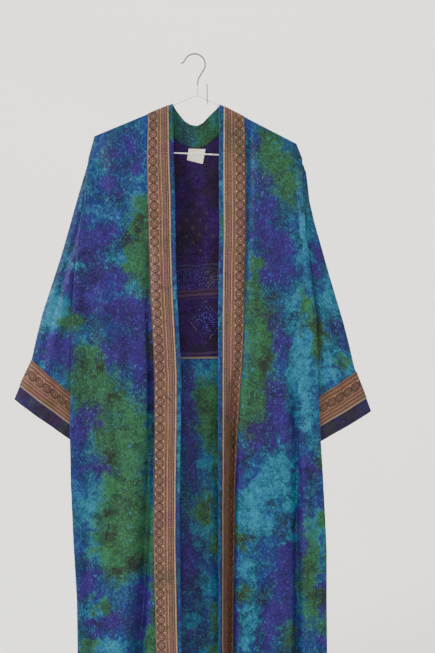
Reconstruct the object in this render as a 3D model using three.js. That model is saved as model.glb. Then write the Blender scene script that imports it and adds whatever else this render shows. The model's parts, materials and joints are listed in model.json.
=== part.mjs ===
// Open kimono robe on a wire hanger, hung by the hanger's arm on a square-bend wall hook.
// Millimetres. X runs to the viewer's right, Z up, and the viewer stands at -Y. The wall is the plane Y = 0.
// "left" and "right" are the viewer's, as in a front view of the hung robe.
// Heights in the tables are measured from the hang height; the group is lifted so that the wall
// hook's shank leaves the wall at the origin.
import * as THREE from 'three';

// Driving sizes of the cloth
const CLOTH = 1.2;
const BAND_CLOTH = 1.8;
const RIBBON = 1.0;
const LABEL_CLOTH = 0.8;
const SEAM_GAP = 0.3;
const SEAM_HALF = 0.65;
const STRIP_WIDTH = 9.5;
const BORDER_WIDTH = 49;
const CUFF_BORDER_WIDTH = 64;
const CUFF_STRIP_WIDTH = 32;
const CUFF_UNDER_BORDER = 12;
const NECK_TO_HEM = 1350;

// The hang plane holds the hanger. The fronts hang before it and the back behind it.
const HANG_Y = -24;
const BODY_DEPTH = 16;
const SHOULDER_ROLL = 3.0;
const SHOULDER_SPREAD = 60;
const OUTLINE_SPREAD = 45;

// Heights that the pieces share
const ARMHOLE_TOP = -130;
const SLEEVE_TOP = -141;
const UNDERARM = -421;
const SLEEVE_BOTTOM = UNDERARM + 6;
const BACK_SEAM = -572;
const HEM = -12 - NECK_TO_HEM;

// Hanger and wall hook
const FRAME_WIRE = 1.4;
const HOOK_WIRE = 1.8;
const STEM_RADIUS = 2.0;
const WALL_HOOK_WIRE = 1.4;
const SHANK_HEIGHT = -5.5;

const CENTRE_X = -22;

// Each side of the body: where the shoulder line starts at the neck and ends at the tip, and a row for
// each height with the front's opening edge, the side fold and the seam that the fold hides.
const SIDES = {
  left: {
    sign: -1,
    neck: { x: -75, z: -10 },
    tip: { x: -247, z: -81 },
    levels: [
      { z: -16, opening: -74.5, fold: -261, seam: -258 },
      { z: -130, opening: -73.5, fold: -261, seam: -258 },
      { z: -165, opening: -72.5, fold: -264.5, seam: -251 },
      { z: -228, opening: -71, fold: -269, seam: -247 },
      { z: -264, opening: -71, fold: -278, seam: -246 },
      { z: -329, opening: -70.5, fold: -286, seam: -247 },
      { z: -421, opening: -68.5, fold: -296, seam: -249 },
      { z: -538, opening: -63, fold: -300, seam: -258 },
      { z: -606, opening: -60.5, fold: -303, seam: -263 },
      { z: -724, opening: -62, fold: -307, seam: -270 },
      { z: -850, opening: -64.5, fold: -306, seam: -270 },
      { z: -978, opening: -66, fold: -302, seam: -262 },
      { z: -1106, opening: -64.5, fold: -296, seam: -250 },
      { z: -1224, opening: -63, fold: -296, seam: -249 },
      { z: -1362, opening: -62, fold: -295, seam: -248 },
    ],
  },
  right: {
    sign: 1,
    neck: { x: 27, z: -11 },
    tip: { x: 196, z: -97 },
    levels: [
      { z: -16, opening: 27, fold: 209.5, seam: 206.5 },
      { z: -130, opening: 24.5, fold: 209.5, seam: 206.5 },
      { z: -165, opening: 24.5, fold: 207.5, seam: 193 },
      { z: -222, opening: 24.5, fold: 210, seam: 186 },
      { z: -289, opening: 25, fold: 215, seam: 180 },
      { z: -389, opening: 22.5, fold: 227, seam: 176 },
      { z: -425, opening: 22, fold: 232, seam: 177 },
      { z: -490, opening: 21, fold: 240, seam: 183 },
      { z: -627, opening: 20, fold: 243, seam: 188 },
      { z: -748, opening: 19.5, fold: 248, seam: 197 },
      { z: -826, opening: 19.5, fold: 253, seam: 207 },
      { z: -921, opening: 19, fold: 258, seam: 215 },
      { z: -1004, opening: 19, fold: 262, seam: 223 },
      { z: -1114, opening: 18.5, fold: 262, seam: 225 },
      { z: -1235, opening: 18, fold: 263, seam: 226 },
      { z: -1362, opening: 18, fold: 263, seam: 226 },
    ],
  },
};

// Vertical folds. Each has a row for a few heights: where its middle runs, how far it stands out
// (a hollow is negative), and how far it reaches to the viewer's left and right.
const FOLDS = {
  front_left: [
    [
      { z: -60, x: -152, out: 0, left: 9, right: 9 },
      { z: -440, x: -128, out: -2, left: 9, right: 8 },
      { z: -724, x: -127, out: -7, left: 9, right: 8 },
      { z: -1013, x: -142, out: -11, left: 13, right: 9 },
      { z: -1222, x: -160, out: -15, left: 22, right: 13 },
      { z: -1362, x: -164, out: -16, left: 24, right: 14 },
    ],
    [
      { z: -430, x: -150, out: 0, left: 40, right: 16 },
      { z: -724, x: -152, out: 6, left: 40, right: 18 },
      { z: -1013, x: -178, out: 8, left: 38, right: 22 },
      { z: -1362, x: -212, out: 11, left: 34, right: 26 },
    ],
    [
      { z: -250, x: -238, out: 0, left: 14, right: 18 },
      { z: -420, x: -262, out: -4, left: 14, right: 22 },
      { z: -900, x: -268, out: -4, left: 13, right: 22 },
      { z: -1362, x: -262, out: -6, left: 14, right: 20 },
    ],
    [
      { z: -200, x: -72, out: 0, left: 24, right: 20 },
      { z: -700, x: -62, out: 4, left: 26, right: 20 },
      { z: -1362, x: -62, out: 9, left: 34, right: 20 },
    ],
  ],
  front_right: [
    [
      { z: -50, x: 92, out: -1, left: 6, right: 9 },
      { z: -90, x: 93, out: -6, left: 7, right: 10 },
      { z: -300, x: 88, out: -6, left: 8, right: 11 },
      { z: -523, x: 76, out: -8, left: 12, right: 12 },
      { z: -640, x: 61, out: -14, left: 14, right: 13 },
      { z: -726, x: 55, out: -18, left: 14, right: 13 },
      { z: -852, x: 50, out: -20, left: 14, right: 12 },
      { z: -1106, x: 45, out: -22, left: 14, right: 12 },
      { z: -1362, x: 41, out: -23, left: 13, right: 12 },
    ],
    [
      { z: -300, x: 24, out: 0, left: 20, right: 20 },
      { z: -640, x: 20, out: 8, left: 20, right: 18 },
      { z: -852, x: 18, out: 13, left: 20, right: 16 },
      { z: -1362, x: 17, out: 15, left: 20, right: 15 },
    ],
    [
      { z: -140, x: 192, out: 0, left: 6, right: 5 },
      { z: -165, x: 194, out: -3, left: 7, right: 5 },
      { z: -289, x: 203, out: -4, left: 8, right: 5 },
      { z: -400, x: 214, out: -3, left: 8, right: 6 },
      { z: -480, x: 216, out: 0, left: 9, right: 7 },
    ],
    [
      { z: -500, x: 186, out: 0, left: 14, right: 9 },
      { z: -724, x: 194, out: -9, left: 15, right: 9 },
      { z: -1013, x: 196, out: -13, left: 16, right: 9 },
      { z: -1362, x: 197, out: -14, left: 17, right: 9 },
    ],
    [
      { z: -860, x: 130, out: 0, left: 18, right: 14 },
      { z: -1000, x: 128, out: -4, left: 20, right: 14 },
      { z: -1362, x: 122, out: -7, left: 22, right: 16 },
    ],
    [
      { z: -430, x: 110, out: 0, left: 30, right: 30 },
      { z: -900, x: 160, out: 3, left: 24, right: 20 },
      { z: -1362, x: 160, out: 6, left: 22, right: 20 },
    ],
  ],
  back: [
    [
      { z: -260, x: -190, out: 0, left: 30, right: 26 },
      { z: -700, x: -205, out: 6, left: 28, right: 24 },
      { z: -1362, x: -212, out: 7, left: 24, right: 22 },
    ],
    [
      { z: -420, x: -120, out: 0, left: 20, right: 18 },
      { z: -800, x: -124, out: -5, left: 18, right: 16 },
      { z: -1362, x: -132, out: -8, left: 20, right: 16 },
    ],
    [
      { z: -200, x: -20, out: 0, left: 40, right: 40 },
      { z: -700, x: -26, out: 3, left: 34, right: 30 },
      { z: -1362, x: -34, out: 6, left: 30, right: 26 },
    ],
    [
      { z: -500, x: 72, out: 0, left: 18, right: 20 },
      { z: -900, x: 70, out: -6, left: 17, right: 18 },
      { z: -1362, x: 62, out: -8, left: 18, right: 18 },
    ],
    [
      { z: -300, x: 150, out: 0, left: 28, right: 26 },
      { z: -800, x: 168, out: 5, left: 24, right: 22 },
      { z: -1362, x: 176, out: 7, left: 22, right: 20 },
    ],
  ],
};

// Back neck: the seam that the neckband stands on, and the band's free edge, from left to right
const NECK_SEAM = [
  { x: -132, z: -33.5 }, { x: -104, z: -59 }, { x: -76, z: -82 }, { x: -60, z: -93.5 },
  { x: -43, z: -101 }, { x: -22, z: -103.5 }, { x: -4, z: -100 }, { x: 13, z: -88.5 },
  { x: 26, z: -77.5 }, { x: 56, z: -58 }, { x: 88, z: -42.1 },
];
const NECK_EDGE = [
  { x: -75, z: -10 }, { x: -70, z: -20 }, { x: -62, z: -31 }, { x: -50, z: -46 },
  { x: -37, z: -54.5 }, { x: -22, z: -57 }, { x: -9, z: -50 }, { x: 1, z: -39 },
  { x: 13, z: -27 }, { x: 21, z: -19.5 }, { x: 27, z: -11 },
];
const NECK_LEAN = 8;
const NECK_SEAM_DROP = 0.8;

// Sleeves: the folded top edge from the armhole to the cuff, the seam under the arm, and the corner of
// the flattened cuff that the body hides
const SLEEVES = {
  left: {
    top: [
      { x: -262.5, z: SLEEVE_TOP }, { x: -273, z: -175 }, { x: -287, z: -221 }, { x: -309, z: -296 },
      { x: -323, z: -343 }, { x: -340, z: -393 }, { x: -365, z: -467 }, { x: -381, z: -528 },
      { x: -391, z: -572 }, { x: -411, z: -613 }, { x: -430, z: -657 },
    ],
    under: [
      { x: -251, z: SLEEVE_BOTTOM }, { x: -262, z: -455 }, { x: -274, z: -530 },
      { x: -282, z: -640 }, { x: -289, z: -762 },
    ],
  },
  right: {
    top: [
      { x: 210.5, z: SLEEVE_TOP }, { x: 217.5, z: -160 }, { x: 221, z: -186 }, { x: 225, z: -222 },
      { x: 235, z: -266 }, { x: 270, z: -389 }, { x: 301, z: -492 }, { x: 315, z: -546 },
      { x: 326, z: -594 }, { x: 345, z: -641 }, { x: 364, z: -691 },
    ],
    under: [
      { x: 179, z: SLEEVE_BOTTOM }, { x: 192, z: -460 }, { x: 204, z: -530 },
      { x: 207, z: -640 }, { x: 212, z: -779 },
    ],
  },
};
const SLEEVE_DEPTH = 6.2;
const CUFF_EXTRA_DEPTH = 5.5;
const SLEEVE_ROLL = 2.2;
const SLEEVE_SPREAD = 30;
// Soft folds that run down the sleeve: where across it they run at the armhole and at the cuff
const SLEEVE_FOLDS = [
  { atArmhole: 0.74, atCuff: 0.62, out: 2.6, reach: 0.07 },
  { atArmhole: 0.82, atCuff: 0.8, out: -2.2, reach: 0.05 },
];

// Colours
const PAINT = {
  silk: { color: 0x2f6f93, roughness: 0.5, metalness: 0 },
  silkBack: { color: 0x3a2a6e, roughness: 0.5, metalness: 0 },
  silkCollar: { color: 0x2f7f6a, roughness: 0.5, metalness: 0 },
  cuffSilk: { color: 0x33203f, roughness: 0.5, metalness: 0 },
  brocade: { color: 0x7d5a48, roughness: 0.45, metalness: 0.1 },
  label: { color: 0xd8d2c0, roughness: 0.85, metalness: 0 },
  whiteWire: { color: 0xe6e6e2, roughness: 0.4, metalness: 0 },
  steel: { color: 0x8a8c90, roughness: 0.35, metalness: 1 },
  brass: { color: 0xb9985a, roughness: 0.35, metalness: 1 },
};

const lerp = (a, b, t) => a + (b - a) * t;
const clamp01 = (t) => Math.min(1, Math.max(0, t));
const ease = (t) => {
  const s = clamp01(t);
  return s * s * (3 - 2 * s);
};

// Value of a column at a height, in a table whose rows run downwards
function atHeight(rows, z, column) {
  if (z >= rows[0].z) return rows[0][column];
  const below = rows.findIndex((row) => row.z <= z);
  if (below < 0) return rows[rows.length - 1][column];
  const [a, b] = [rows[below - 1], rows[below]];
  return lerp(a[column], b[column], (a.z - z) / (a.z - b.z));
}

// Height of a line of points at x, in a table whose rows run from left to right
function heightAt(points, x) {
  if (x <= points[0].x) return points[0].z;
  const next = points.findIndex((point) => point.x >= x);
  if (next < 0) return points[points.length - 1].z;
  const [a, b] = [points[next - 1], points[next]];
  return lerp(a.z, b.z, (x - a.x) / (b.x - a.x));
}

// Point at a share of the length of a line of points
function alongLine(points, share) {
  const lengths = points.slice(1).map((p, i) => Math.hypot(p.x - points[i].x, p.z - points[i].z));
  let rest = clamp01(share) * lengths.reduce((sum, length) => sum + length, 0);
  for (let i = 0; i < lengths.length; i += 1) {
    if (rest <= lengths[i] || i === lengths.length - 1) {
      const t = Math.min(1, rest / lengths[i]);
      return { x: lerp(points[i].x, points[i + 1].x, t), z: lerp(points[i].z, points[i + 1].z, t) };
    }
    rest -= lengths[i];
  }
  return points[0];
}

// Cloth that rolls over an edge and then spreads to its full depth
function spread(distance, roll, full, reach) {
  if (distance <= 0) return SEAM_HALF;
  const inRoll = roll - Math.min(distance, roll);
  const round = Math.sqrt(Math.max(0, roll * roll - inRoll * inRoll));
  const beyond = Math.max(0, distance - roll);
  return Math.max(SEAM_HALF, round + (full - roll) * (1 - Math.exp(-beyond / reach)));
}

// The shoulder line lies over the hanger's arms, and the arms meet above the neck
const SHOULDER_SLOPE = {
  left: (SIDES.left.neck.z - SIDES.left.tip.z) / (SIDES.left.neck.x - SIDES.left.tip.x),
  right: (SIDES.right.tip.z - SIDES.right.neck.z) / (SIDES.right.tip.x - SIDES.right.neck.x),
};
function shoulderHeight(x) {
  const { left, right } = SIDES;
  const onLeft = left.neck.z + (x - left.neck.x) * SHOULDER_SLOPE.left;
  const onRight = right.neck.z + (x - right.neck.x) * SHOULDER_SLOPE.right;
  return Math.min(onLeft, onRight);
}

const sideOf = (x) => (x < CENTRE_X ? SIDES.left : SIDES.right);

// Side outline from the shoulder tip to the top of the armhole, then the side fold
function outlineX(side, z) {
  if (z >= ARMHOLE_TOP) {
    const t = (side.tip.z - z) / (side.tip.z - ARMHOLE_TOP);
    return lerp(side.tip.x, side.levels[0].fold, clamp01(t));
  }
  return atHeight(side.levels, z, 'fold');
}

// Depth of the main layer from the hang plane at its side edge
const FOLD_OPENS_IN = 35;
function edgeDepth(z) {
  const opened = 1 - Math.exp(-Math.max(0, ARMHOLE_TOP - z) / FOLD_OPENS_IN);
  return z >= ARMHOLE_TOP ? 0 : SHOULDER_ROLL + (BODY_DEPTH - SHOULDER_ROLL) * opened;
}
const TURNED_SHARE = 0.625;
const foldRadius = (z) => (edgeDepth(z) * (1 - TURNED_SHARE)) / 2;
const mainEnd = (side, z) => outlineX(side, z) - side.sign * Math.max(foldRadius(z), 0);

function foldRelief(folds, x, z) {
  return folds.reduce((sum, rows) => {
    const offset = x - atHeight(rows, z, 'x');
    const reach = atHeight(rows, z, offset < 0 ? 'left' : 'right');
    return sum + atHeight(rows, z, 'out') * Math.exp(-((offset / reach) ** 2));
  }, 0);
}

// Depth of the front or back layer from the hang plane
const RELIEF_STARTS = 30;
const RELIEF_FADES_AT_EDGE = 14;
function layerDepth(x, z, folds) {
  const side = sideOf(x);
  const below = shoulderHeight(x) - z;
  const inFromEdge = Math.max(0, side.sign * (outlineX(side, z) - x));
  const fromTop = spread(below, SHOULDER_ROLL, BODY_DEPTH, SHOULDER_SPREAD);
  const fromEdge = Math.max(spread(inFromEdge, SHOULDER_ROLL, BODY_DEPTH, OUTLINE_SPREAD), edgeDepth(z));
  const relief = foldRelief(folds, x, z);
  const fade = ease(below / RELIEF_STARTS) * ease(inFromEdge / RELIEF_FADES_AT_EDGE);
  return Math.min(fromTop, fromEdge) + relief * fade;
}

// The armhole: how far the sleeve stands from the hang plane at a height of its seam
function armholeDepth(z) {
  if (z > SLEEVE_TOP || z < UNDERARM) return 0;
  const fromEnd = Math.min(SLEEVE_TOP - z, z - UNDERARM);
  return spread(fromEnd, SLEEVE_ROLL, SLEEVE_DEPTH, SLEEVE_SPREAD);
}
const ARMHOLE_LAP = CLOTH + SEAM_GAP + 0.3;
const GUSSET_HALF = 0.75;
const UNDERARM_CLOSES = 26;
function seamDepth(z) {
  if (z >= ARMHOLE_TOP) return SEAM_HALF;
  if (z >= UNDERARM) return armholeDepth(z) + ARMHOLE_LAP;
  return lerp(ARMHOLE_LAP, GUSSET_HALF, ease((UNDERARM - z) / UNDERARM_CLOSES));
}

// The run of cloth round the side fold and back inwards to the hidden seam, for s from 0 to 1
const ROUND_SHARE = 0.36;
const TURNED_POWER = 4;
const EDGE_OPENS = 13;
function sideRun(side, z, s, folds) {
  const depth = edgeDepth(z);
  const radius = foldRadius(z);
  const centreX = outlineX(side, z) - side.sign * radius;
  const rolled = { x: outlineX(side, z) - side.sign * SHOULDER_ROLL * (1 - s) ** 2, depth: 0 };
  rolled.depth = layerDepth(rolled.x, z, folds);
  if (z >= ARMHOLE_TOP) return rolled;
  const turned = {};
  if (s <= ROUND_SHARE) {
    const angle = (Math.PI * s) / ROUND_SHARE;
    turned.x = centreX + side.sign * radius * Math.sin(angle);
    turned.depth = depth - radius + radius * Math.cos(angle);
  } else {
    const run = (s - ROUND_SHARE) / (1 - ROUND_SHARE);
    turned.x = lerp(centreX, atHeight(side.levels, z, 'seam'), run);
    turned.depth = lerp(depth * TURNED_SHARE, seamDepth(z), run ** TURNED_POWER);
  }
  const opened = ease((ARMHOLE_TOP - z) / EDGE_OPENS);
  return { x: lerp(rolled.x, turned.x, opened), depth: lerp(rolled.depth, turned.depth, opened) };
}

// Heights of the rows of points below the armhole's top
const BODY_ROWS = [
  ARMHOLE_TOP, -136, -143, -165, -205, -255, -315, -370, -404, -418.5, -422, -434, -450, -490, -545,
  -610, -690, -780, -880, -980, -1090, -1220, HEM,
];
const TOP_ROLL_ROWS = [0, 0.9, 3, 8];
const TOP_SHARES = [0.5];

// Columns of points. A front's first columns are cloth distances from its opening edge.
const FRONT_COLUMNS = {
  left: [0, STRIP_WIDTH, 22, 35, 47, STRIP_WIDTH + BORDER_WIDTH, 64, 70, 77, 86, 97],
  right: [0, STRIP_WIDTH, 22, 35, 47, STRIP_WIDTH + BORDER_WIDTH, 66, 74, 83, 93],
};
const BORDER_COLUMNS = { first: 1, last: 5 };
const FRONT_EVEN_COLUMNS = { left: 9, right: 11 };
const SIDE_RUN_STEPS = [0.12, 0.24, 0.36, 0.65, 0.88, 1];
const SECTION_SAMPLES = 90;

// Main layer of a front at a height: points at the named cloth distances, then evenly spaced ones
function frontSection(name, z) {
  const side = SIDES[name];
  const folds = FOLDS[`front_${name}`];
  const from = atHeight(side.levels, z, 'opening');
  const to = mainEnd(side, z) - (z >= ARMHOLE_TOP ? side.sign * SHOULDER_ROLL : 0);
  const samples = [];
  let length = 0;
  for (let i = 0; i <= SECTION_SAMPLES; i += 1) {
    const x = lerp(from, to, i / SECTION_SAMPLES);
    const depth = layerDepth(x, z, folds);
    if (i > 0) length += Math.hypot(x - samples[i - 1].x, depth - samples[i - 1].depth);
    samples.push({ x, depth, length });
  }
  const named = FRONT_COLUMNS[name];
  const evenCount = FRONT_EVEN_COLUMNS[name];
  const lastNamed = named[named.length - 1];
  const even = Array.from({ length: evenCount }, (_, i) => lerp(lastNamed, length, (i + 1) / evenCount));
  return [...named, ...even].map((distance) => {
    const next = Math.max(1, samples.findIndex((sample) => sample.length >= distance - 1e-6));
    const [a, b] = [samples[next - 1], samples[next]];
    const x = lerp(a.x, b.x, (distance - a.length) / (b.length - a.length));
    return { x, z, depth: layerDepth(x, z, folds) };
  });
}

const frontPoint = (x, z, depth) => new THREE.Vector3(x, HANG_Y - depth, z);
const backPoint = (x, z, depth) => new THREE.Vector3(x, HANG_Y + depth, z);

// Rows from a piece's top edge down to the armhole's top, straight between the two
function topZone(topEdge, lower) {
  const fixed = TOP_ROLL_ROWS;
  const rest = TOP_SHARES.map((share) => (top) => lerp(top - fixed[fixed.length - 1], ARMHOLE_TOP, share));
  const heights = [...fixed.map((drop) => (top) => top - drop), ...rest];
  return heights.map((heightOf) =>
    topEdge.map((top, i) => {
      const z = heightOf(top.z);
      const t = (top.z - z) / (top.z - ARMHOLE_TOP);
      return { x: lerp(top.x, lower[i].x, t), z };
    }),
  );
}

function frontGrid(name) {
  const side = SIDES[name];
  const folds = FOLDS[`front_${name}`];
  const sectionAt = (z) => [
    ...frontSection(name, z),
    ...SIDE_RUN_STEPS.map((s) => ({ z, ...sideRun(side, z, s, folds) })),
  ];
  const lower = BODY_ROWS.map(sectionAt);
  const first = lower[0];
  const span = first[first.length - 1].x - first[0].x;
  const topEdge = first.map((point) => {
    const x = lerp(side.neck.x, side.tip.x, (point.x - first[0].x) / span);
    return { x, z: shoulderHeight(x) };
  });
  const upper = topZone(topEdge, first).map((row) =>
    row.map(({ x, z }) => ({ x, z, depth: layerDepth(x, z, folds) })),
  );
  return [...upper, ...lower].map((row) => row.map(({ x, z, depth }) => frontPoint(x, z, depth)));
}

// The back's main columns, named by where they meet the top edge, so that some lie on the neck seam's points
const BACK_TOP_COLUMNS = [
  -222, -192, -162, ...NECK_SEAM.map((point) => point.x), 116, 144, 172,
];
function backColumnShares() {
  const [left, right] = [SIDES.left, SIDES.right];
  const edges = [outlineX(left, ARMHOLE_TOP), outlineX(right, ARMHOLE_TOP)];
  const inner = [edges[0] + SHOULDER_ROLL, edges[1] - SHOULDER_ROLL];
  const shares = BACK_TOP_COLUMNS.map((topX) => {
    const x = lerp(edges[0], edges[1], (topX - left.tip.x) / (right.tip.x - left.tip.x));
    return (x - inner[0]) / (inner[1] - inner[0]);
  });
  return [0, ...shares, 1];
}
const BACK_MAIN_SHARES = backColumnShares();
const BACK_UPPER_ROWS = BODY_ROWS.filter((z) => z > BACK_SEAM + SEAM_GAP);
const BACK_LOWER_ROWS = [-610, -690, -780, -880, -980, -1090, -1220, HEM];

function backSection(z) {
  const run = (side) => SIDE_RUN_STEPS.map((s) => ({ z, ...sideRun(side, z, s, FOLDS.back) }));
  const rollIn = z >= ARMHOLE_TOP ? SHOULDER_ROLL : 0;
  const from = mainEnd(SIDES.left, z) + rollIn;
  const to = mainEnd(SIDES.right, z) - rollIn;
  const main = BACK_MAIN_SHARES.map((share) => {
    const x = lerp(from, to, share);
    return { x, z, depth: layerDepth(x, z, FOLDS.back) };
  });
  return [...run(SIDES.left).reverse(), ...main, ...run(SIDES.right)];
}

// The back's top edge follows the shoulders and dips round the neck
function backTopHeight(x) {
  const first = NECK_SEAM[0];
  const last = NECK_SEAM[NECK_SEAM.length - 1];
  return x >= first.x && x <= last.x ? heightAt(NECK_SEAM, x) - NECK_SEAM_DROP : shoulderHeight(x);
}

function backUpperGrid() {
  const lower = BACK_UPPER_ROWS.map(backSection);
  const first = lower[0];
  const span = first[first.length - 1].x - first[0].x;
  const topEdge = first.map((point) => {
    const x = lerp(SIDES.left.tip.x, SIDES.right.tip.x, (point.x - first[0].x) / span);
    return { x, z: backTopHeight(x) };
  });
  const upper = topZone(topEdge, first).map((row) =>
    row.map(({ x, z }) => ({ x, z, depth: layerDepth(x, z, FOLDS.back) })),
  );
  const end = backSection(BACK_SEAM + SEAM_GAP / 2);
  return [...upper, ...lower, end].map((row) => row.map(({ x, z, depth }) => backPoint(x, z, depth)));
}

function backLowerGrid() {
  return [BACK_SEAM - SEAM_GAP / 2, ...BACK_LOWER_ROWS]
    .map(backSection)
    .map((row) => row.map(({ x, z, depth }) => backPoint(x, z, depth)));
}

// Neckband between the two shoulder lines, behind the neck. Its rows lie on the seam's points, with more
// of them where it rolls over the shoulder.
const COLLAR_ROLL_ROWS = [0.03, 0.08, 0.18, 0.4];
const COLLAR_COLUMNS = [0, 0.25, 0.5, 0.75, 1];
function collarPlaces() {
  const last = NECK_SEAM.length - 1;
  const places = [];
  for (let i = 0; i < last; i += 1) {
    places.push(i, ...(i > 0 && i < last - 1 ? [i + 0.5] : []));
  }
  const rolls = [...COLLAR_ROLL_ROWS, ...COLLAR_ROLL_ROWS.map((t) => last - t)];
  return [...places, ...rolls, last].sort((a, b) => a - b);
}
const atPlace = (points, place) => {
  const i = Math.min(points.length - 2, Math.floor(place));
  const t = place - i;
  return { x: lerp(points[i].x, points[i + 1].x, t), z: lerp(points[i].z, points[i + 1].z, t) };
};
function collarGrid() {
  const places = collarPlaces();
  return places.map((place) => {
    const seam = atPlace(NECK_SEAM, place);
    const edge = atPlace(NECK_EDGE, place);
    const lean = NECK_LEAN * Math.sin((Math.PI * place) / (NECK_SEAM.length - 1)) ** 2;
    return COLLAR_COLUMNS.map((across) => {
      const x = lerp(seam.x, edge.x, across);
      const z = lerp(seam.z, edge.z, across);
      const depth = spread(shoulderHeight(x) - z, SHOULDER_ROLL, BODY_DEPTH, SHOULDER_SPREAD);
      return backPoint(x, z, depth - lean * across ** 2);
    });
  });
}

// A point of the sleeve's flattened tube: u runs from the armhole to the cuff, v from the under seam to
// the top fold
function sleevePlan(name, u, v) {
  const { top, under } = SLEEVES[name];
  const topPoint = alongLine(top, u);
  const underPoint = alongLine(under, u);
  const straight = { x: lerp(underPoint.x, topPoint.x, v), z: lerp(underPoint.z, topPoint.z, v) };
  const z = lerp(under[0].z, top[0].z, v);
  const lineX = lerp(under[0].x, top[0].x, v);
  const seamX = atHeight(SIDES[name].levels, z, 'seam');
  const bend = (1 - u) ** 3 * Math.sin(Math.PI * clamp01(v)) ** 0.5;
  return { x: straight.x + (seamX - lineX) * bend, z: straight.z };
}

function sleeveWidth(name, u) {
  const a = sleevePlan(name, u, 0);
  const b = sleevePlan(name, u, 1);
  return Math.hypot(a.x - b.x, a.z - b.z);
}

function sleeveDepth(name, u, v) {
  const width = sleeveWidth(name, u);
  const full = SLEEVE_DEPTH + CUFF_EXTRA_DEPTH * ease(u * 1.3) * ease((v - 0.35) / 0.4);
  const fromEnd = Math.min(v, 1 - v) * width;
  return spread(fromEnd, SLEEVE_ROLL, full, SLEEVE_SPREAD);
}

function sleeveRelief(u, v) {
  const shown = Math.sin(Math.PI * clamp01(u * 0.8 + 0.12));
  return SLEEVE_FOLDS.reduce((sum, fold) => {
    const offset = v - lerp(fold.atArmhole, fold.atCuff, u);
    return sum + fold.out * shown * Math.exp(-((offset / fold.reach) ** 2));
  }, 0);
}

const SLEEVE_HALF_COLUMNS = [0, 0.01, 0.05, 0.16, 0.34, 0.5, 0.64, 0.77, 0.89, 0.97, 1];
const SLEEVE_SHARES = [0, 0.08, 0.18, 0.3, 0.42, 0.54, 0.66, 0.78, 0.9];
const CUFF_DEEP = CUFF_BORDER_WIDTH + CUFF_STRIP_WIDTH;
const SLEEVE_END = CUFF_DEEP - CUFF_UNDER_BORDER;
const CUFF_DISTANCES = [
  CUFF_DEEP, SLEEVE_END + SEAM_GAP / 2, SLEEVE_END - SEAM_GAP / 2, 66, 49, CUFF_STRIP_WIDTH, 16, 0,
];

// Whole sleeve as rows of points, from the front side of the under seam over the top fold to its back
// side. Rows before the border are shares of the sleeve, later ones are distances from the cuff's edge.
function sleeveGrid(name) {
  const { top, under } = SLEEVES[name];
  const lengthOf = (line) =>
    line.slice(1).reduce((sum, p, i) => sum + Math.hypot(p.x - line[i].x, p.z - line[i].z), 0);
  const topLength = lengthOf(top);
  const underLength = lengthOf(under);
  const around = [
    ...SLEEVE_HALF_COLUMNS.map((v) => ({ v, layer: -1 })),
    ...SLEEVE_HALF_COLUMNS.slice(0, -1).reverse().map((v) => ({ v, layer: 1 })),
  ];
  const pointAt = (distance, share, { v, layer }) => {
    const u = share * (1 - distance / lerp(underLength, topLength, v));
    const plan = sleevePlan(name, u, v);
    const relief = sleeveRelief(u, v) * (layer < 0 ? 1 : 0.6);
    const depth = v === 1 ? 0 : sleeveDepth(name, u, v) + relief;
    return new THREE.Vector3(plan.x, HANG_Y + layer * depth, plan.z);
  };
  return [
    ...SLEEVE_SHARES.map((share) => around.map((place) => pointAt(CUFF_DEEP, share, place))),
    ...CUFF_DISTANCES.map((distance) => around.map((place) => pointAt(distance, 1, place))),
  ];
}
const SLEEVE_ROW_COUNT = SLEEVE_SHARES.length + 2;
const BORDER_FIRST_ROW = SLEEVE_SHARES.length;
const BORDER_LAST_ROW = SLEEVE_SHARES.length + CUFF_DISTANCES.indexOf(CUFF_STRIP_WIDTH);

// Unit normals of a grid of points
function gridNormals(grid) {
  const rows = grid.length;
  const columns = grid[0].length;
  return grid.map((row, i) =>
    row.map((_, j) => {
      const down = grid[Math.min(i + 1, rows - 1)][j].clone().sub(grid[Math.max(i - 1, 0)][j]);
      const across = row[Math.min(j + 1, columns - 1)].clone().sub(row[Math.max(j - 1, 0)]);
      return down.cross(across).normalize();
    }),
  );
}

const shifted = (grid, normals, distance) =>
  grid.map((row, i) => row.map((point, j) => point.clone().addScaledVector(normals[i][j], distance)));

// A closed wall of cloth about a grid of points: both faces and the four rims
function wallGeometry(grid, thickness, normals = gridNormals(grid)) {
  const rows = grid.length;
  const columns = grid[0].length;
  const count = rows * columns;
  const faces = [shifted(grid, normals, thickness / 2), shifted(grid, normals, -thickness / 2)];
  const positions = faces.flat(2).flatMap((point) => point.toArray());
  const at = (face, i, j) => face * count + i * columns + j;
  const index = [];
  const quad = (a, b, c, d) => index.push(a, b, c, a, c, d);
  for (let i = 0; i < rows - 1; i += 1) {
    for (let j = 0; j < columns - 1; j += 1) {
      quad(at(0, i, j), at(0, i + 1, j), at(0, i + 1, j + 1), at(0, i, j + 1));
      quad(at(1, i, j), at(1, i, j + 1), at(1, i + 1, j + 1), at(1, i + 1, j));
    }
  }
  for (let j = 0; j < columns - 1; j += 1) {
    quad(at(0, 0, j), at(0, 0, j + 1), at(1, 0, j + 1), at(1, 0, j));
    quad(at(0, rows - 1, j + 1), at(0, rows - 1, j), at(1, rows - 1, j), at(1, rows - 1, j + 1));
  }
  for (let i = 0; i < rows - 1; i += 1) {
    quad(at(0, i + 1, 0), at(0, i, 0), at(1, i, 0), at(1, i + 1, 0));
    quad(at(0, i, columns - 1), at(0, i + 1, columns - 1), at(1, i + 1, columns - 1), at(1, i, columns - 1));
  }
  const geometry = new THREE.BufferGeometry();
  geometry.setAttribute('position', new THREE.Float32BufferAttribute(positions, 3));
  geometry.setIndex(index);
  return geometry;
}

const part = (grid, rowRange, columnRange) =>
  grid.slice(...rowRange).map((row) => row.slice(...columnRange));

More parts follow.
